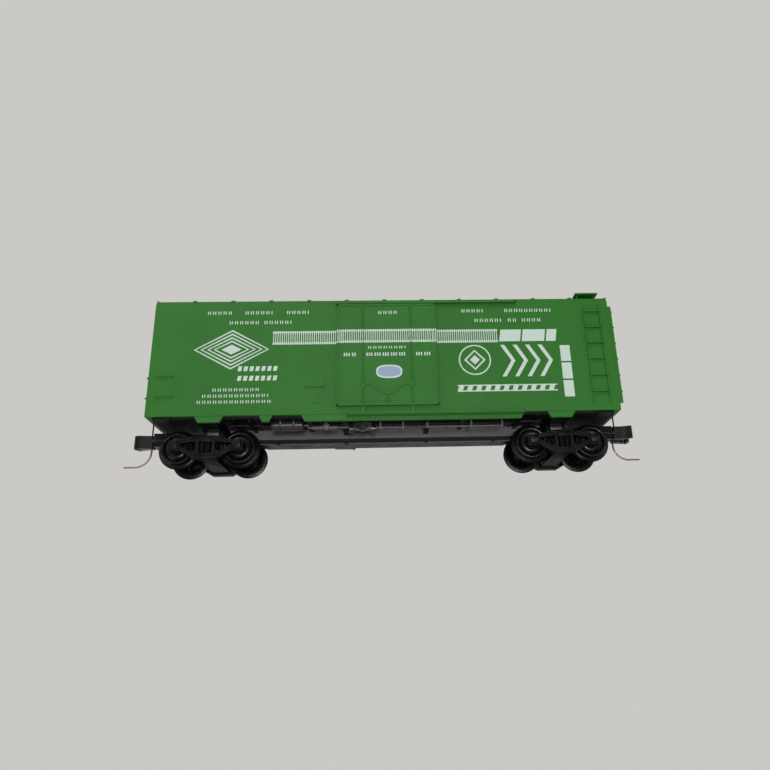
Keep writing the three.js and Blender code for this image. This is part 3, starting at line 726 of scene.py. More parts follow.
def lock_bar(x, bottom, top):
    """One of the door's upright bars, with its keepers, its cam and its foot."""
    foot = DOOR_LOW.z
    parts = [
        rod("z", (x, DOOR_FACE - 0.1), 0.13, (bottom + 0.1, top - 0.15), 16, 0.02),
        door_boss(x, 11.82, 0.42, 0.16, 0.3),
        box(about(x, 0.3), (DOOR_FACE + 0.08, DOOR_BACK), (foot, bottom + 0.1), 0.05),
        lathe("y", (x, foot + 0.42, DOOR_FACE), [(0, 0.2), (0.3, 0.2), (0.3, 0.02), (0, 0.02)], 20),
    ]
    for z in (9.1, 13.2, 16.6, 20.2, 23.6, 26.0):
        parts.append(box(about(x, 0.3), on_door(0.2), about(z, 0.17), 0.05))
        parts += [dome("y", (bolt, z, DOOR_FACE - 0.2), 0.045, -0.03, 8) for bolt in about(x, 0.22)]
    return parts


def door_lever():
    """The lever that joins the lock bars, its middle boss and the short rod below it."""
    upper = mirrored_outline([(0.75, 10.53), (2.6, 11.98), (BAR, 11.98)][::-1])
    lower = mirrored_outline([(0.86, 10.2), (2.72, 11.68), (BAR, 11.68)][::-1])
    outline = [(x + DOOR_MID, z) for x, z in upper + lower[::-1]]
    return [
        prism("y", outline, on_door(0.18), 0.05),
        rod("z", (DOOR_MID, DOOR_FACE - 0.08), 0.13, (DOOR_BOTTOM + 0.2, 10.4), 14, 0.02),
        door_boss(DOOR_MID, 10.36, 0.36, 0.15, 0.24),
        box(about(DOOR_MID, 0.45), on_door(0.16), (8.9, 9.2), 0.05),
    ]


def door_parts():
    left, right = DOOR_LOW.x, DOOR_HIGH.x
    bottom, top = DOOR_BOTTOM, DOOR_HIGH.z
    lip = top - 0.36
    rim, field = on_door(0.12, 0.1), on_door(0.04, 0.1)
    parts = [
        box((left, right), (DOOR_FACE, DOOR_BACK), (bottom, top), 0.05),
        box((left, left + 0.32), rim, (bottom, lip), 0.05),
        box((right - 0.32, right), rim, (bottom, lip), 0.05),
        box((left, right), rim, (bottom, bottom + 0.34), 0.05),
        box((left, right), rim, (lip - 0.32, lip), 0.05),
        box((left + 0.9, right - 0.9), field, (bottom + 0.8, lip - 0.8), 0.04),
    ]
    for x in about(DOOR_MID, BAR):
        parts += lock_bar(x, bottom, lip)
    return parts + door_lever()


def build_doors():
    parts = door_parts()
    make("door_near_panel", parts, GREEN, "door_near", "door_near")
    turned = [placed(part, HALF_TURN) for part in parts]
    make("door_far_panel", turned, GREEN, "door_far", "door_far")


# ---- Running board and brake wheel ----
def grating(x, y, z, pitch, across):
    """A thin tray with a raised grid on it. The close-set bars run across the given axis."""
    parts = [box(x, y, (z, z + 0.12), 0.03)]
    top = (z + 0.08, z + 0.25)
    rail = 0.14
    for edge in (y[0], y[1] - rail):
        parts.append(box(x, (edge, edge + rail), top, 0.03))
    for edge in (x[0], x[1] - rail):
        parts.append(box((edge, edge + rail), y, top, 0.03))
    length, low, high = (x[1] - x[0], x[0], y) if across == "x" else (y[1] - y[0], y[0], x)
    count = int(length / pitch)
    for i in range(1, count):
        at = low + length * i / count
        bar = about(at, 0.05)
        spans = (bar, high) if across == "x" else (high, bar)
        parts.append(box(*spans, (z + 0.08, z + 0.22)))
    return parts


def build_running_board():
    low, high = cad_box("running_board")
    z = high.z - 0.25
    half = 1.5
    parts = grating((low.x, high.x), (-half, half), z, 0.46, "x")
    for y in (-0.5, 0.5):
        parts.append(box((low.x, high.x), about(y, 0.05), (z + 0.1, z + 0.25)))
    for i in range(1, PANELS):
        x = i * PANEL_PITCH - END_X
        parts.append(box(about(x, 0.2), (-1.2, 1.2), (PEAK + 0.2, z + 0.05)))
    start, end = 34.15, 38.2
    wing = grating((start, end), (low.y, -half), z, 0.46, "y")
    for x in (start + 0.5, end - 0.5):
        wing.append(box(about(x, 0.12), (low.y + 0.7, low.y + 1), (EAVE + 0.35, z + 0.05), 0.04))
    for y in (-0.75, 0.75):
        x, foot, top = END_X + 0.05, 27.9, z + 0.05
        bracket = [(x, foot), (x + 0.25, foot), (high.x - 0.1, top), (x, top)]
        wing.append(prism("y", bracket, about(y, 0.12), 0.04))
    parts += both_sides(wing)
    make("running_board_grating", parts, GREEN, "car_body", "running_board")


def build_brake_wheel():
    radius = 1.6
    rim = [(0, a, b) for a, b in circle(0, 0, radius, 56)]
    spoke = tube(bent([(-0.12, 0, 0.2), (-0.16, 0, 0.8), (0, 0, radius)], 0.3), 0.1, 8)
    hub = [(0, -0.28), (0.34, -0.28), (0.42, -0.1), (0.4, 0.1), (0.2, 0.16), (0.2, 0.22), (0, 0.22)]
    parts = [tube(rim, 0.14, 12, closed=True), lathe("x", (0, 0, 0), hub, 24)]
    parts += [placed(spoke, Matrix.Rotation(turn, 4, "X")) for turn in turns(5)]
    parts.append(rod("x", (0, 0), 0.24, (-1.1, -0.2), 20))
    parts = [moved(part, *BRAKE) for part in parts]
    make("brake_wheel_casting", parts, GREEN, "brake_wheel", "brake_wheel")


# ---- Underframe ----
def floor_parts():
    edge_x = END_X - WALL - 0.1
    edge_y = SIDE_Y - WALL - 0.1
    plate = box((-edge_x, edge_x), (-edge_y, edge_y), (FLOOR_UNDER, FLOOR_TOP), 0.08)
    sockets = [rod("z", (x, 0), 0.95, (FLOOR_UNDER - 1, FLOOR_TOP + 1), 32) for x in (-TRUCK_X, TRUCK_X)]
    parts = [cut(plate, sockets, 0.05)]
    for y in (-4.6, 4.6):
        parts.append(box((-26.5, 26.5), about(y, 0.28), (6.28, HUNG_TOP), 0.05))
    for i in range(15):
        x = -25.2 + 3.6 * i
        if min(abs(x - at) for at in (-22.5, -12.8, -6.9, 6.9, 12.8, 22.5)) > 0.8:
            parts.append(box(about(x, 0.12), (-8, 8), (6.45, HUNG_TOP), 0.04))
    return parts


def sill_cover_parts():
    """The foot of the centre sill: a neck, and a cover strip that steps up over the axles. It is drawn black
    as painted shade against the sill's painted-light grey.
    """
    foot = SILL_FOOT
    parts = [
        box((0.3 - DRAFT_X, DRAFT_X - 0.3), (-0.7, 0.7), (foot + 0.1, SILL_WEB + 0.1)),
        box((-20.9, 20.9), (-1.44, 1.44), (foot, foot + 0.26), 0.05, 3),
        box((0.1 - DRAFT_X, DRAFT_X - 0.1), (-1.44, 1.44), (foot + 0.15, foot + 0.26), 0.04),
    ]
    for x in (-18.6, -6.9, 6.9, 18.6):
        parts.append(box(about(x, 0.35), (-1.62, 1.62), (foot + 0.04, foot + 0.36), 0.05))
    return parts


def sill_parts():
    """The centre sill's two riveted webs, and the rolled lips of its cover strip. They take the grey that is
    painted light, against the black around them.
    """
    foot = SILL_FOOT
    parts = [box((-DRAFT_X, DRAFT_X), (-1.2, 1.2), (SILL_WEB, HUNG_TOP), 0.06)]
    for i in range(17):
        x = -20 + 2.5 * i
        for side in (-1, 1):
            parts.append(dome("y", (x, SILL_WEB + 0.25, side * 1.2), 0.09, side * 0.06))
            parts.append(dome("y", (x, 6.2, side * 1.2), 0.09, side * 0.06))
    for y in ((-1.5, -1.3), (1.3, 1.5)):
        parts.append(box((-20.9, 20.9), y, (foot + 0.02, foot + 0.34), 0.05, 3))
        parts.append(box((0.1 - DRAFT_X, DRAFT_X - 0.1), y, (foot + 0.17, foot + 0.34), 0.04))
    return parts


def cross_parts():
    parts = []
    for x in (-6.9, 6.9):
        web = mirrored_outline([(1.5, 5.52), (8.2, 6.1), (8.2, HUNG_TOP)])
        foot = mirrored_outline([(1.5, 5.46), (8.2, 6.04), (8.2, 6.24), (1.5, 5.66)])
        parts.append(prism("x", web, about(x, 0.16), 0.05))
        parts.append(prism("x", foot, about(x, 0.42), 0.04))
    for x in (-22.5, -12.8, 12.8, 22.5):
        parts.append(box(about(x, 0.16), (-8.2, 8.2), (6.2, HUNG_TOP), 0.05))
        parts.append(box(about(x, 0.36), (-8.2, 8.2), (6.15, 6.3), 0.04))
    for x in (-TRUCK_X, TRUCK_X):
        pad = cut(rod("z", (x, 0), 2.3, (6.15, HUNG_TOP), 48), [rod("z", (x, 0), 0.95, (6, 7), 32)], 0.05)
        parts.append(pad)
        for side in (-1, 1):
            parts.append(box(about(x, 1.55), about(side * 5.3, 2.95), (6.32, HUNG_TOP), 0.06))
        for dx in (-1.1, 1.1):
            for y in (-7.4, -5.8, 5.8, 7.4):
                parts.append(dome("z", (x + dx, y, 6.32), 0.13, -0.08))
    return parts


def side_bearing(y, z, bevel):
    """One piece of each side bearing, the upright plates under the floor that steady the trucks. Each plate
    is drawn as a black upper stem of painted shade and a grey lower pad of painted light.
    """
    plate = box((TRUCK_X - 1.25, TRUCK_X + 0.75), y, z, bevel)
    return with_copies(with_copies([plate], FLIP_X), FLIP_Y)


def stirrup_step():
    """The sill step below the near side's +X corner."""
    inner, outer, y = 35.4, 37.8, -8.75
    foot, left, right = 3.1, inner + 0.11, outer - 0.11
    path = [(left, y, FLOOR_UNDER), (left, y, foot), (right, y, foot), (right, y, FLOOR_UNDER)]
    ear = box((inner - 0.2, outer + 0.2), (y - 0.18, -8), (6.45, SILL - 0.06), 0.05)
    tread = box((inner + 0.05, outer - 0.05), about(y, 0.22), (foot - 0.1, foot + 0.08), 0.05)
    return [tube(bent(path, 0.3), 0.12, 10), ear, tread]


def tank(axis, centre, radius, span):
    """A pressure tank with domed ends and a welded seam near each end."""
    length = span[1] - span[0]
    crown = radius * 0.28
    dish = ((0, 0), (0.45, 0.12), (0.78, 0.5), (0.96, 1), (1, 1.5))
    seam = ((1, 2.2), (1.04, 2.3), (1.04, 2.7), (1, 2.8))
    half = [(radius * r, crown * t) for r, t in dish + seam]
    other = [(r, length - t) for r, t in reversed(half)]
    return lathe(axis, (*centre, span[0]), half + other, 40)


def reservoir_parts():
    y, z = GEAR_Y, 5.9
    parts = [tank("x", (y, z), 0.93, (-19.3, -13.7))]
    for x in (-17.6, -15.4):
        hoop = [(x, a, b) for a, b in circle(y, z, 0.97, 40)]
        parts.append(tube(hoop, 0.09, 8, closed=True))
        parts += [box(about(x, 0.2), about(strap, 0.1), (z, HUNG_TOP), 0.04) for strap in about(y, 0.95)]
    return parts


def valve_parts():
    """The brake valve: a body with a round flange on each face and pipe bosses."""
    x, y, z = -4, GEAR_Y, 5.2
    left = [(0, 0), (0.5, 0), (0.62, 0.12), (0.62, 0.45), (0.75, 0.45), (0.75, 0.8), (0, 0.8)]
    right = [(0, 0), (0.75, 0), (0.75, 0.35), (0.6, 0.35), (0.6, 0.68), (0.45, 0.8), (0, 0.8)]
    front = [(0, 0), (0.5, 0), (0.62, 0.12), (0.62, 0.6), (0, 0.6)]
    parts = [
        box(about(x, 1.6), (y - 0.6, y + 1.2), (z - 0.15, HUNG_TOP), 0.16, 3),
        box(about(x, 1), (y - 0.75, y + 0.4), (z - 0.35, z + 0.4), 0.12, 3),
        lathe("x", (y + 0.3, z, x - 2.3), left, 28),
        lathe("x", (y + 0.3, z, x + 1.5), right, 28),
        lathe("y", (x, z - 0.1, y - 1.1), front, 28),
    ]
    for a, b in circle(y + 0.3, z, 0.6, 6):
        parts.append(dome("x", (a, b, x - 1.85), 0.09, -0.1, 8))
        parts.append(dome("x", (a, b, x + 1.85), 0.09, 0.1, 8))
    return parts


def hanger(x, y, z):
    """A strap bent round a rod and bolted to the floor."""
    return [box(about(x, 0.15), about(y, 0.22), (z - 0.28, HUNG_TOP), 0.05),
            rod("y", (x, z), 0.13, about(y, 0.3), 12, 0.02)]


def chain(x, links, y, z):
    """A run of chain whose oval links alternate between upright and flat."""
    parts = []
    for i in range(links):
        at = x[0] + (i + 0.5) * (x[1] - x[0]) / links
        oval = circle(0, 0, 0.26, 14)
        link = [(at + a, y + b / 2, z) if i % 2 else (at + a, y, z + b / 2) for a, b in oval]
        parts.append(tube(link, 0.06, 6, closed=True))
    return parts


def near_rods():
    """Brake rigging along the near side: levers, chain and pull rods, in the grey that is painted light on
    the black moulding.
    """
    y, z = GEAR_Y, 5.3
    pipe = [(-13.8, y, 5.85), (-13.0, y, 5.85), (-13.0, y, 5.4), (-6.0, y, 5.4)]
    drum = [(0, 0), (0.4, 0), (0.55, 0.12), (0.55, 1.08), (0.4, 1.2), (0, 1.2)]
    lever = [(6.65, HUNG_TOP), (7.15, HUNG_TOP), (7.05, 5.4), (6.95, 5.2), (6.8, 5.2), (6.7, 5.4)]
    parts = [
        tube(bent(pipe, 0.3), 0.15, 12),
        lathe("y", (-10, 5.55, y - 0.6), drum, 28),
        lathe("x", (y, 5.4, -12.4), [(0, 0), (0.3, 0), (0.3, 4.2), (0, 4.2)], 18),
        box(about(-10, 0.25), about(y, 0.2), (5.5, HUNG_TOP), 0.05),
        tube([(-2.0, y, z), (2.9, y, z)], 0.16, 12),
        *chain((2.9, 6.8), 10, y, z),
        tube([(6.8, y, z), (19.6, y, z)], 0.16, 12),
        prism("y", lever, about(y, 0.2), 0.05),
        rod("y", (6.9, z), 0.22, about(y, 0.32), 16, 0.03),
    ]
    for x in (-1, 2.8, 14.3, 19.5):
        parts += hanger(x, y, z)
    return parts


def far_gear():
    """The brake cylinder with its push rod and levers, on the far side of the centre sill."""
    y, z, flange = 5, 5.55, -6
    cylinder = [(0, 0), (0.6, 0), (0.95, 0.3), (1.0, 0.8), (1.0, 3.6), (1.15, 3.6), (1.15, 3.85), (0.95, 3.9),
                (0.5, 4.4), (0, 4.4)]
    line = [(-24, 7.3, 6.1), (-12, 7.3, 6.1), (-11, 6.6, 6.1), (24, 6.6, 6.1)]
    parts = [
        lathe("x", (y, z, flange - 3.6), cylinder, 36),
        rod("x", (y, z), 0.22, (-5.4, -2.1), 14),
        box((-8.6, -6.2), about(y, 0.6), (5.6, HUNG_TOP), 0.08),
        box((-2.42, -1.9), (1, 6.2), (5.4, 5.66), 0.07),
        box((-2.4, -1.9), (5.9, 6.2), (5.4, HUNG_TOP), 0.05),
        tube([(-2.2, 2.6, 5.5), (19.9, 2.6, 5.5)], 0.16, 12),
        box((19.6, 19.9), about(2.6, 0.25), (5.3, HUNG_TOP), 0.05),
        tube(bent(line, 0.6), 0.15, 10),
        rod("z", (-2.2, y), 0.2, (5.3, 5.76), 14, 0.03),
    ]
    parts += [dome("x", (a, b, flange), 0.07, -0.07, 8) for a, b in circle(y, z, 1.06, 8)]
    parts += [box(about(x, 0.12), (6.35, 7.5), (6.0, HUNG_TOP), 0.04) for x in (-20, -4, 8, 18)]
    return parts


def build_underframe():
    """A matte black floor and steps, the grey sill, side bearings and rods, and the glossy brake gear. The
    grey is painted light on what is one black moulding, and the sill's foot and the bearings' upper stems
    stay black as painted shade.
    """
    steps = both_sides(with_copies(stirrup_step(), FLIP_X))
    # The side bearings' upper stems, in black as painted shade.
    painted_shade_stems = side_bearing((-3.55, -3.2), (5.4, HUNG_TOP), 0.03)
    parts = floor_parts() + cross_parts() + sill_cover_parts() + painted_shade_stems + steps
    make("underframe_floor", parts, BLACK, "car_body", "underframe")
    # The side bearings' lower pads, the sill and the rods, in the grey that is painted light.
    feet = side_bearing((-3.62, -3.18), (5.2, 5.72), 0.06)
    parts = sill_parts() + feet + near_rods()
    make("underframe_sill", parts, PAINTED_LIT_BLACK, "car_body", "underframe")
    parts = reservoir_parts() + valve_parts() + far_gear()
    make("underframe_brake_gear", parts, GLOSSY, "car_body", "underframe")


def build_ballast():
    low, high = cad_box("ballast_plate")
    plate = box((low.x, high.x), (low.y, high.y), (low.z, high.z), 0.09, 3)
    holes = [rod("z", (x, 0), 0.9, (low.z - 1, high.z + 1), 32) for x in (-20, 20)]
    parts = [cut(plate, holes, 0.06)]
    make("ballast_steel_plate", parts, BALLAST, "car_body", "ballast_plate")


def build_king_pin(suffix, x):
    low, high = cad_box("king_pin_" + suffix)
    height = high.z - low.z
    dimple = [(0, 0.08), (0.5, 0.08), (0.55, 0)]
    head = [(1.35, 0), (1.46, 0.06), (1.5, 0.18), (1.5, 0.38), (1.42, 0.45)]
    neck = [(0.9, 0.45), (0.9, height - 0.4), (0.82, height - 0.1), (0.7, height), (0, height)]
    pin = lathe("z", (x, 0, low.z), dimple + head + neck, 40)
    node = "king_pin_" + suffix
    make(node + "_moulding", [pin], SMOOTH_ACETAL, "car_body", node)


# ---- Trucks, in a frame with the swivel axis at x = 0 and the coupler towards +X ----
SIDE_IN = 6.1
SIDE_OUT = 7.3


def strip(points, width, y):
    """A raised bead along a line of (x, z) points."""
    parts = []
    for start, end in zip(points, points[1:]):
        start, end = Vector(start), Vector(end)
        ahead = (end - start).normalized() * (width * 0.3)
        side = Vector((-ahead.y, ahead.x)).normalized() * (width / 2)
        start, end = start - ahead, end + ahead
        corners = [start - side, end - side, end + side, start + side]
        parts.append(prism("y", [tuple(c) for c in corners], y, 0.04))
    return parts


def sideframe():
    """The near sideframe: level top chord, deep V-shaped bottom chord, and journal boxes at its ends."""
    inner, outer = -SIDE_IN, -SIDE_OUT
    body = (outer + 0.2, inner)
    bead = (outer, inner + 0.2)
    b = HALF_BASE
    top = [(1.9, 3.3), (b - 0.95, 2.95), (b + 0.9, 2.9), (b + 1, 3.32), (b - 0.8, 3.5), (2.4, 4)]
    low = [(1.75, 0.36), (b - 0.95, 1.75), (b - 0.95, 2.62), (2.3, 1.5), (1.65, 1.12)]
    column = [(1.0, 0.9), (1.5, 0.9), (1.62, 3.7), (1.08, 3.7)]
    pedestal = [(-0.98, 1.95), (-0.8, 1.7), (0.8, 1.7), (0.95, 1.95), (1.0, 3.25), (-1.0, 3.3)]
    half = [
        *strip([(2.35, 3.88), (b - 0.8, 3.4), (b + 0.85, 3.22)], 0.17, bead),
        *strip([(1.7, 0.46), (b - 1, 1.86)], 0.17, bead),
        *strip([(1.6, 1.06), (2.28, 1.42), (b - 1, 2.52)], 0.15, bead),
        prism("y", column, (outer + 0.02, inner), 0.08),
        prism("y", [(1.4, 1.1), (2.3, 1.4), (1.5, 2.2)], (outer + 0.3, inner)),
    ]
    parts = [
        *[prism("y", mirrored_outline(chord), body, 0.08, 3) for chord in (top, low)],
        *with_copies(half, FLIP_X),
        *strip([(-2.35, 3.88), (2.35, 3.88)], 0.17, bead),
        *strip([(-1.7, 0.46), (1.7, 0.46)], 0.17, bead),
        box((-1.1, 1.1), (inner - 0.3, inner), (0.9, 3.6)),
        box((-1.1, 1.1), (outer - 0.1, inner + 0.3), (3.12, 3.88), 0.1, 3),
        box((-0.85, 0.85), (outer - 0.15, outer), (3.3, 3.7), 0.06),
        *[dome("y", (x, 3.5, outer - 0.15), 0.1, -0.06) for x in (-0.55, 0, 0.55)],
        box((-1.5, 1.5), (outer - 0.02, inner), (1.02, 1.2), 0.05),
    ]
    for side in (-1, 1):
        x = side * b
        parts.append(prism("y", [(x + a, z) for a, z in pedestal], (outer + 0.1, inner), 0.1, 3))
        parts += journal(x, outer)
        parts += spring(side * 0.5, inner - 0.65)
    return parts


def journal(x, outer):
    """A journal box with a sloping lid, its hinge lugs and the wedge above it."""
    front, z = outer - 0.4, WHEEL_RADIUS
    shell = [(0.6, -0.8), (0.18, -0.72), (0, 0.1), (0.06, 0.72), (0.6, 0.8)]
    lid = [(0.14, -0.62), (0.06, -0.62), (-0.05, 0.1), (0, 0.6), (0.14, 0.6)]
    return [
        prism("x", [(front + a, z + b) for a, b in shell], about(x, 0.72), 0.12, 3),
        prism("x", [(front + a, z + b) for a, b in lid], about(x, 0.55), 0.06),
        rod("x", (front + 0.06, z + 0.68), 0.12, about(x, 0.4), 12, 0.02),
        dome("y", (x, z - 0.1, front), 0.15, -0.08, 12),
    ]


def spring(x, y):
    """One coil of the spring group, standing between the spring plank and the bolster."""
    span = (1.15, 3.2)
    return [tube(coil("z", (x, y), 0.33, span, 6, 14), 0.1, 8), rod("z", (x, y), 0.22, span, 14)]


def bolster():
    """The truck bolster, hollow-ended and dished where it carries the king pin."""
    half = 1.7
    middle = box((-half, half), (-2.6, 2.6), (4.9, 6.05), 0.1, 3)
    pad = rod("z", (0, 0), 1.62, (5.9, 6.1), 44, 0.03)
    hole = rod("z", (0, 0), 1.0, (4, 7), 36)
    parts = [cut(middle, [hole], 0.04), cut(pad, [hole], 0.02)]
    end = SIDE_IN + 0.1
    wing = [(2.1, 4.5), (2.1, 5.1), (end, 4.0), (end, 3.2), (5.2, 3.3)]
    parts += with_copies([prism("x", wing, (-1.3, 1.3), 0.1, 3)], FLIP_Y)
    parts.append(box((-1.4, 1.4), (-end, end), (0.75, 1.15), 0.06))
    for x in (-1.3, 1.3):
        parts.append(box(about(x, 0.1), (-end, end), (0.72, 1.3), 0.04))
    return parts


def brake_beam(side):
    """A brake beam between a pair of wheels, with a shoe at each end."""
    x = side * (HALF_BASE - WHEEL_RADIUS - 0.55)
    z = WHEEL_RADIUS - 0.35
    truss = ((0, -4.4), (0.75, 0), (0, 4.4), (0.2, 4.4), (0.98, 0), (0.2, -4.4))
    outline = [(x - side * inward, y) for inward, y in truss]
    parts = [rod("y", (x, z), 0.14, (-5.6, 5.6), 14, 0.02), prism("z", outline, about(z, 0.12), 0.04)]
    reach = WHEEL_RADIUS + 0.16
    sweep = [math.radians(7 * i - 5) for i in range(-3, 4)]
    shoe = []
    for radius, angles in ((reach, sweep), (reach + 0.42, sweep[::-1])):
        for turn in angles:
            out = HALF_BASE - radius * math.cos(turn)
            shoe.append((side * out, WHEEL_RADIUS + radius * math.sin(turn)))
    parts += with_copies([prism("y", shoe, (-5.15, -4.4), 0.05)], FLIP_Y)
    return parts


def coupler_pocket():
    """The pocket's roof and walls round the pivot post, and the arm that joins it to the bolster."""
    low, high = cad_box("coupler_lid_a")
    start, end = low.x - TRUCK_X, high.x - TRUCK_X
    half, wall = high.y, 0.3
    floor = high.z + 0.02
    top = low.z + 2.3
    return [
        box((start, end), (-half, half), (top - wall, top), 0.06),
        box((start, end), (-half, wall - half), (floor, top), 0.06),
        box((start, end), (half - wall, half), (floor, top), 0.06),
        box((start, start + 0.4), (-half, half), (floor, top), 0.06),
        rod("z", (POST_X - TRUCK_X, 0), 0.45, (floor + 0.08, top - 0.1), 28, 0.03),
        box((1.6, start + 0.1), (-1.5, 1.5), (4.8, 6.05), 0.1, 3),
        box((2.1, start - 0.3), (-0.9, 0.9), (4.62, 5.2), 0.08),
    ]


def at_truck(suffix, parts, x=0.0):
    """Parts moved from a truck's own frame to the car's. The truck at the -X end is turned half round."""
    pose = Matrix.Translation((TRUCK_X + x, 0, 0))
    if suffix == "b":
        pose = HALF_TURN @ pose
    return [placed(part, pose) for part in parts]


def build_truck_frame(suffix):
    body = "truck_" + suffix
    node = "truck_frame_" + suffix
    parts = with_copies(sideframe(), FLIP_Y) + bolster() + brake_beam(-1) + brake_beam(1) + coupler_pocket()
    make(node + "_casting", at_truck(suffix, parts), BLACK, body, node)
    node = "coupler_lid_" + suffix
    low, high = cad_box(node)
    mid = (low.x + high.x) / 2
    lid = [
        box((low.x, high.x), (low.y, high.y), (low.z, high.z), 0.07, 3),
        dome("z", (math.copysign(POST_X, mid), 0, low.z), 0.32, -0.05, 20),
        *[dome("z", (mid, y, low.z), 0.2, -0.05, 14) for y in (-1.55, 1.55)],
    ]
    make(node + "_cover", lid, BLACK, body, node)


# ---- Wheelsets ----
WHEEL_BACK = 3.8  # from the car's middle to a wheel's back face


def wheel_profile():
    """Radius against distance from the wheel's back face."""
    hub_back = [(0.62, 0), (0.95, 0), (1.02, 0.07)]
    back = [(1.1, 0.2), (1.5, 0.42), (1.9, 0.36), (2.08, 0.14), (2.14, 0.02), (2.2, 0)]
    flange = [(-0.22, 0), (-0.1, 0.03), (-0.02, 0.1), (0, 0.2), (-0.04, 0.3), (-0.14, 0.38)]
    tread = [(0.3, 0.46), (0.12, 0.56), (0.05, 0.7), (0.02, 1), (-0.02, 1.42), (-0.08, 1.49), (-0.16, 1.5)]
    face = [(2.3, 1.5), (2.24, 1.46), (2.18, 1.2), (2.1, 1.08), (1.75, 0.92), (1.35, 0.86)]
    hub = [(1.12, 0.95), (1.04, 1.12), (1.02, 1.3), (0.96, 1.36), (0.7, 1.36), (0.62, 1.32)]
    outer = [(WHEEL_RADIUS + FLANGE + r, t) for r, t in flange] + [(WHEEL_RADIUS + r, t) for r, t in tread]
    return hub_back + back + outer + face + hub


def build_wheelset(suffix, place, x):
    z = WHEEL_RADIUS
    name = suffix + "_" + place
    body = "wheelset_" + name
    half = [(0.46, 2.2), (0.5, 3.3), (0.6, 3.6), (0.6, 5.48), (0.47, 5.55), (0.42, 5.62), (0.42, 6.12),
            (0.36, 6.24), (0.1, 6.62), (0, 6.8)]
    profile = [(r, -t) for r, t in reversed(half)] + half
    axle = [lathe("y", (x, z, 0), profile, 32)]
    node = "axle_" + name
    make(node + "_moulding", axle, ACETAL, body, node, origin=(x, 0, z))
    for side, hand in ((1, "left"), (-1, "right")):
        facing = side if suffix == "a" else -side
        profile = [(r, facing * (WHEEL_BACK + t)) for r, t in wheel_profile()]
        parts = [lathe("y", (x, z, 0), profile, 72)]
        rib = placed(box((1.05, 2.12), (-0.06, 0.06), (0, 0.34), 0.04), Matrix.Rotation(-math.pi / 2, 4, "X"))
        rib = moved(rib, y=WHEEL_BACK + 0.05)
        if facing < 0:
            rib = placed(rib, FLIP_Y)
        for turn in turns(12):
            parts.append(moved(placed(rib, Matrix.Rotation(turn, 4, "Y")), x=x, z=z))
        node = "wheel_" + name + "_" + hand
        make(node + "_moulding", parts, ACETAL, body, node, origin=(x, 0, z))


# ---- Couplers, in a frame with the pivot post at x = 0 and the pulling face towards +X ----
HEAD_START = 2.8


def shank(bottom, top, slot, neck_start, neck_end):
    half, neck = 0.85, 0.6
    plan = [(0, -half), (2.1, -half), (2.4, -neck), (neck_start, -neck), (neck_start, 0.1), (neck_end, 0.1),
            (neck_end, neck), (2.4, neck), (2.1, half), (0, half)]
    arm = prism("z", plan, (bottom, top))
    eye = rod("z", (0, 0), half + 0.05, (bottom, top), 40)
    hole = rod("z", (0, 0), 0.53, (bottom - 1, top + 1), 32)
    window = box((0, 2.05), (-slot, slot), (bottom - 1, top + 1))
    return [cut(arm, [hole, window], 0.04), cut(eye, [hole, window], 0.03)]


def coupler_head_parts():
    """The upper half, with the guard arm on its -Y side."""
    start = HEAD_START + 0.05
    guard = [(start, -1.15), (4.5, -1.2), (5.4, -1.62), (6.0, -1.85), (6.1, -1.6), (5.4, -0.98), (5.0, -0.55),
             (4.75, -0.2), (4.6, 0), (start + 0.1, 0.1), (start, 0.1)]
    parts = shank(POST_Z + 0.02, POST_Z + 0.8, 0.42, HEAD_START + 0.15, HEAD_START - 0.2)
    parts.append(prism("z", guard, (POST_Z - 1, POST_Z + 1.3), 0.09, 3))
    rim = [(start + 0.1, -1.0), (4.5, -1.05), (5.2, -1.35), (4.8, -0.5), (start + 0.1, -0.1)]
    parts.append(prism("z", rim, (POST_Z + 1.2, POST_Z + 1.36), 0.06))
    for z in (POST_Z - 0.55, POST_Z + 0.15, POST_Z + 0.85):
        parts.append(box((start + 0.1, 4.4), (-1.27, -1.0), about(z, 0.09), 0.04))
    return parts


def coupler_knuckle_parts():
    """The lower half, with the knuckle on its +Y side."""
    throat = [(4.4, 0.25), (4.7, 0.52), (4.85, 0.7), (5.1, 0.76), (5.3, 0.65), (5.34, 0.42), (5.25, 0.2)]
    nose = [(5.36, 0), (5.6, -0.15), (5.84, -0.04), (6, 0.15)]
    back = [(6, 0.85), (5.94, 1.1), (5.8, 1.3), (5.5, 1.44), (5.1, 1.5), (4.3, 1.36)]
    hook = [(HEAD_START, 0.22), *throat, *nose, *back, (HEAD_START, 1.15)]
    low = POST_Z - 1.3
    parts = shank(POST_Z - 0.8, POST_Z - 0.02, 0.66, HEAD_START - 0.2, HEAD_START + 0.15)
    parts.append(prism("z", hook, (low, POST_Z + 1), 0.09, 3))
    button = [(0, 0), (0.3, 0), (0.34, -0.06), (0.22, -0.12), (0, -0.12)]
    parts.append(lathe("z", (5.45, 0.85, low), button, 20))
    return parts


def trip_pin_parts():
    """A round wire that hangs from the lower half and curves out to a level tip."""
    x, y, drop, bend, tip = HEAD_START + 0.25, 0.55, 0.6, 2.6, 7.5
    path = [(x, y, POST_Z - 0.2), (x, y, POST_Z - 0.9), (x, y, drop + bend + 0.3)]
    for i in range(19):
        turn = math.pi / 2 * i / 18
        path.append((x + bend * (1 - math.cos(turn)), y, drop + bend * (1 - math.sin(turn))))
    path += [(x + bend + 0.5, y, drop), (tip - 0.08, y, drop), (tip, y, drop)]
    return [tube(path, 0.15, 16)]


def coupler_spring_parts():
    return [tube(coil("x", (0, POST_Z), 0.3, (0.58, 1.84), 7, 16), 0.055, 8)]


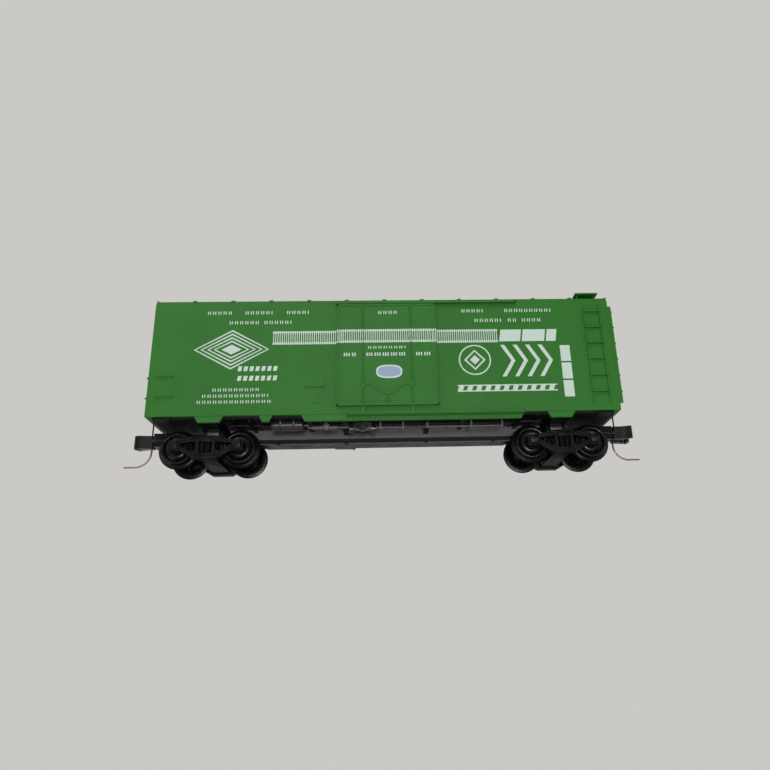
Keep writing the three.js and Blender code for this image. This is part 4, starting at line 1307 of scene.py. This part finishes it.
def build_coupler(suffix):
    jobs = (
        ("coupler_head_", coupler_head_parts(), SMOOTH_ACETAL, "coupler_", "acetal_plastic"),
        ("coupler_knuckle_", coupler_knuckle_parts(), SMOOTH_ACETAL, "knuckle_", "acetal_plastic"),
        ("trip_pin_", trip_pin_parts(), PIN_STEEL, "knuckle_", "pin_steel"),
        ("coupler_spring_", coupler_spring_parts(), BRONZE, "coupler_", "spring_bronze"),
    )
    for kind, parts, material, body, slot in jobs:
        node = kind + suffix
        parts = at_truck(suffix, parts, POST_X - TRUCK_X)
        make(node + "_detail", parts, material, body + suffix, node)


# ---- Printing. Flat marks in plain shapes stand for the car's decoration ----
INK_RISE = 0.014
BAND = (19.4, 21.85)


def mark(outline, plane):
    """A thin flat mark on the side that faces -Y, from its outline in (x, z)."""
    return prism("y", outline, (plane - INK_RISE, plane + 0.03))


def block(x, z, plane, slant=0.0):
    """A four-sided mark, leaning by slant at its top."""
    return mark([(x[0], z[0]), (x[1], z[0]), (x[1] + slant, z[1]), (x[0] + slant, z[1])], plane)


def tick_row(x, z, height, plane, stroke=0.16, pitch=0.36, group=2):
    """A row of fine uprights in small groups, the stand-in for a line of small printing."""
    parts = []
    at = x[0]
    i = 0
    while at + stroke <= x[1]:
        parts.append(block((at, at + stroke), about(z, height / 2), plane))
        i += 1
        at += pitch if i % group else pitch * 1.45
    return parts


def bold_row(x, z, height, plane):
    """A row of slanted blocks, for heavier printing."""
    parts = []
    at = x[0]
    while at + 0.6 <= x[1]:
        parts.append(block((at, at + 0.62), about(z, height / 2), plane, 0.15))
        at += 0.98
    return parts


def frame_mark(outline, inner, plane):
    """A closed band between two outlines with the same number of corners."""
    parts = []
    count = len(outline)
    for i in range(count):
        j = (i + 1) % count
        parts.append(mark([outline[i], outline[j], inner[j], inner[i]], plane))
    return parts


def lozenge(x, z, width, height):
    return [(x - width / 2, z), (x, z - height / 2), (x + width / 2, z), (x, z + height / 2)]


def lozenge_ring(centre, width, height, line, plane):
    inner = (width - line * 2.4, height - line * 2)
    return frame_mark(lozenge(*centre, width, height), lozenge(*centre, *inner), plane)


def hatched_band(x, z, plane):
    """Two level stripes of short dashes, joined by close fine uprights."""
    low, high = z
    parts = []
    length = x[1] - x[0]
    count = max(1, round(length / 0.36))
    pitch = length / count
    for i in range(count):
        start = x[0] + pitch * i
        for stripe in ((low, low + 0.42), (high - 0.42, high)):
            parts.append(block((start + 0.03, start + pitch - 0.03), stripe, plane))
        parts.append(block((start + 0.11, start + 0.25), (low + 0.4, high - 0.4), plane))
    return parts


def nested_lozenge(centre, sizes, line, core, plane):
    """Lozenge rings one inside the other round a solid one, whose width and height are the core's."""
    parts = frame_mark(lozenge(*centre, *core), lozenge(*centre, 0.02, 0.02), plane)
    for width, height in sizes:
        parts += lozenge_ring(centre, width, height, line, plane)
    return parts


def body_print():
    plane = -SIDE_Y
    parts = []
    rows = (
        (25.4, 0.6, (-30.3, -26.0), (-23.9, -19.1), (-16.8, -12.8), (13.4, 17.2), (20.9, 29.3)),
        (23.55, 0.6, (-26.5, -21.4), (-20.6, -16.0), (15.6, 20.4), (21.4, 23.0), (23.9, 27.3)),
        (11.4, 0.52, (-28.6, -20.7)),
        (10.35, 0.52, (-30.2, -19.2)),
        (9.3, 0.52, (-31.0, -18.5)),
    )
    for z, height, *spans in rows:
        for span in spans:
            parts += tick_row(span, z, height, plane)
    for z in (15.1, 13.4):
        parts += bold_row((-24.7, -18.1), z, 0.85, plane)
    sizes = ((12.6, 7.2), (10.4, 5.9), (8.2, 4.6), (6.0, 3.3))
    parts += nested_lozenge((-25.9, 18.6), sizes, 0.3, (3.4, 1.8), plane)
    for span in ((-19.1, DOOR_LOW.x - 0.05), (DOOR_HIGH.x + 0.05, 19.4)):
        parts += hatched_band(span, BAND, plane)
    for span in ((19.6, 23.2), (23.5, 27.4), (27.7, 29.4)):
        parts.append(block(span, (BAND[0] + 0.15, BAND[1] - 0.1), plane, 0.35))
    ring = (15.2, 16.2)
    parts += ring_mark(ring, 2.75, 2.52, plane)
    parts += nested_lozenge(ring, ((3.7, 3.7),), 0.34, (1.7, 1.7), plane)
    for i in range(4):
        x = 19.7 + 2.15 * i
        point = ((0, 13.1), (0.7, 13.1), (2.45, 16.0), (0.7, 18.9), (0, 18.9), (1.75, 16.0))
        parts.append(mark([(x + a, z) for a, z in point], plane))
    parts += ruled_strip((12.0, 28.9), (10.5, 11.7), plane)
    for z in (9.4, 12.6, 15.8):
        parts.append(block((30.0, 31.7), (z, z + 2.9), plane))
    return parts


def ring_mark(centre, outer, inner, plane):
    sides = 48
    return frame_mark(circle(*centre, outer, sides), circle(*centre, inner, sides), plane)


def ruled_strip(x, z, plane):
    """A narrow strip of slanting blocks between two fine lines."""
    parts = [block(x, (z[0], z[0] + 0.2), plane), block(x, (z[1] - 0.2, z[1]), plane)]
    count = 11
    pitch = (x[1] - x[0]) / count
    for i in range(count):
        at = x[0] + pitch * i
        parts.append(block((at, at + pitch * 0.55), (z[0] + 0.2, z[1] - 0.2), plane, 0.3))
    return parts


def door_print():
    """The door's share of the printing. It crosses the raised panel, the lock bars and the rim."""
    plane = DOOR_FACE - 0.04
    parts = tick_row((-1.1, 2.3), 25.0, 0.6, plane)
    parts += tick_row((-2.9, 3.7), 18.5, 0.45, plane)
    for x in ((-3.2, 3.8), (-7.0, -4.6), (5.2, 8.0)):
        parts += tick_row(x, 17.25, 0.6, plane, 0.22, 0.4, 3)
    left, right = DOOR_LOW.x, DOOR_HIGH.x
    low, high = BAND
    bars = about(DOOR_MID, BAR)
    edges = (left + 0.92, *about(bars[0], 0.14), *about(bars[1], 0.14), right - 0.92)
    for span in zip(edges[::2], edges[1::2]):
        parts += hatched_band(span, BAND, plane)
    for span in ((left + 0.34, left + 0.9), (right - 0.9, right - 0.34)):
        parts += hatched_band(span, BAND, DOOR_FACE)
    for x in (left + 0.17, right - 0.17):
        parts += hatched_band(about(x, 0.14), BAND, DOOR_FACE - 0.12)
    for x in bars:
        for stripe in ((low, low + 0.42), (high - 0.42, high)):
            parts.append(block(about(x, 0.08), stripe, DOOR_FACE - 0.23))
        parts.append(block(about(x, 0.05), (low + 0.4, high - 0.4), DOOR_FACE - 0.23))
    return parts


def rounded_oval(grow):
    """The label's outline, grown or shrunk all round."""
    outline = []
    for a, b in circle(0, 0, 1, 40):
        x = 0.6 + (2.2 + grow) * math.copysign(abs(a) ** 0.7, a)
        z = 14.1 + (1.2 + grow) * math.copysign(abs(b) ** 0.8, b)
        outline.append((x, z))
    return outline


def build_printing():
    make("print_body_sides", both_sides(body_print()), INK, "car_body")
    parts = door_print()
    border = frame_mark(rounded_oval(0), rounded_oval(-0.28), DOOR_FACE - 0.09)
    make("print_door_near", parts + border, INK, "door_near")
    make("print_door_far", [placed(part, HALF_TURN) for part in parts], INK, "door_far")
    label = prism("y", rounded_oval(0), on_door(0.09, 0.02), 0.015)
    make("label_door_near", [label], LABEL, "door_near")


# ---- Stage ----
def maths(tree, operation, *values):
    """A math node's result, where each value is a number or another node's output."""
    return add_node(tree, "ShaderNodeMath", dict(enumerate(values)), operation=operation).outputs[0]


def floor_material():
    """Pale matte surface. From behind, the camera looks through it, and lamps below it shine through."""
    colour = (0.93, 0.915, 0.90)
    graph = Graph("stage_floor")
    tint = graph.blend(graph.ranged(graph.noise(0.02, 3), 0, 1), toned(colour, 0.98), colour)
    rough = graph.ranged(graph.noise(0.05, 2), 0.7, 0.8)
    graph.finish(tint, rough, graph.bump(graph.noise(1, 2), 0.02, 0.2))
    tree = graph.tree
    back = add_node(tree, "ShaderNodeNewGeometry", {}).outputs["Backfacing"]
    path = add_node(tree, "ShaderNodeLightPath", {}).outputs
    seen = maths(tree, "MULTIPLY", back, path["Is Camera Ray"])
    clear = maths(tree, "MAXIMUM", seen, path["Is Shadow Ray"])
    glass = add_node(tree, "ShaderNodeBsdfTransparent", {}).outputs[0]
    mix = add_node(tree, "ShaderNodeMixShader", {0: clear, 1: graph.shader.outputs[0], 2: glass})
    fill_inputs(tree, tree.nodes["Material Output"], {"Surface": mix.outputs[0]})
    return graph.material


def add_floor():
    half = 0.9
    mesh = bpy.data.meshes.new("floor")
    corners = [(-half, -half, 0), (half, -half, 0), (half, half, 0), (-half, half, 0)]
    mesh.from_pydata(corners, [], [(0, 1, 2, 3)])
    mesh.materials.append(floor_material())
    floor = bpy.data.objects.new("floor", mesh)
    bpy.context.collection.objects.link(floor)


def add_light(name, spot, size, energy):
    """A round lamp, in metres and watts, that faces the middle of the car."""
    data = bpy.data.lights.new(name, "AREA")
    data.shape = "DISK"
    data.size = size
    data.energy = energy
    light = bpy.data.objects.new(name, data)
    light.location = spot
    middle = Vector((0, 0, 0.015))
    light.rotation_euler = (middle - Vector(spot)).to_track_quat("-Z", "Y").to_euler()
    bpy.context.collection.objects.link(light)


def add_world():
    """A pale surround that lights the car more softly than it looks, least of all in reflections."""
    world = bpy.data.worlds.new("studio")
    world.use_nodes = True
    tree = world.node_tree
    cast, reflected = 0.62, 0.075
    path = add_node(tree, "ShaderNodeLightPath", {}).outputs
    inputs = {"Value": path["Is Glossy Ray"], "To Min": cast, "To Max": reflected}
    dimmed = add_node(tree, "ShaderNodeMapRange", inputs).outputs["Result"]
    strength = maths(tree, "MULTIPLY_ADD", path["Is Camera Ray"], 1 - cast, dimmed)
    fill_inputs(tree, tree.nodes["Background"], {"Color": (0.597, 0.584, 0.565), "Strength": strength})
    bpy.context.scene.world = world


def add_camera():
    """The viewing angle: nearly square to the side, from below the floor line, tipped a little."""
    yaw, elevation, roll = (math.radians(a) for a in (-2.6, -19.55, -1.67))
    distance, focal, frame_px = 0.1234, 680.0, 770.0
    level = math.cos(elevation)
    back = Vector((math.sin(yaw) * level, -math.cos(yaw) * level, math.sin(elevation)))
    right = (-back).cross(Vector((0, 0, 1))).normalized()
    up = back.cross(right)
    tipped_right = right * math.cos(roll) + up * math.sin(roll)
    tipped_up = up * math.cos(roll) - right * math.sin(roll)
    target = Vector((4.45, 0, 15.07 + RAIL)) * MM
    data = bpy.data.cameras.new("camera")
    data.sensor_width = 36
    data.lens = 36 * focal / frame_px
    data.shift_x = -25 / frame_px
    data.clip_start = 0.005
    data.clip_end = 20
    camera = bpy.data.objects.new("camera", data)
    place = Matrix((tipped_right, tipped_up, back)).transposed().to_4x4()
    place.translation = target + back * distance
    camera.matrix_world = place
    bpy.context.collection.objects.link(camera)
    bpy.context.scene.camera = camera


build_shell()
build_doors()
build_running_board()
build_brake_wheel()
build_underframe()
build_ballast()
for end, sign in (("a", 1), ("b", -1)):
    build_king_pin(end, sign * TRUCK_X)
    build_truck_frame(end)
    build_wheelset(end, "outer", sign * AXLE_X)
    build_wheelset(end, "inner", sign * (TRUCK_X - HALF_BASE))
    build_coupler(end)
build_printing()

add_floor()
add_world()
add_light("key", (-0.10, -0.30, 0.36), 0.30, 0.56)
add_light("low_front", (0.02, -0.42, -0.05), 0.08, 0.61)
add_light("rim", (0.10, 0.34, 0.30), 0.25, 0.44)
add_light("far_side", (-0.12, 0.44, 0.22), 0.2, 0.6)
for end in (-1, 1):
    add_light("end_fill", (end * 0.42, -0.02, 0.1), 0.3, 0.14)
add_camera()
bpy.context.scene.view_settings.view_transform = "Standard"
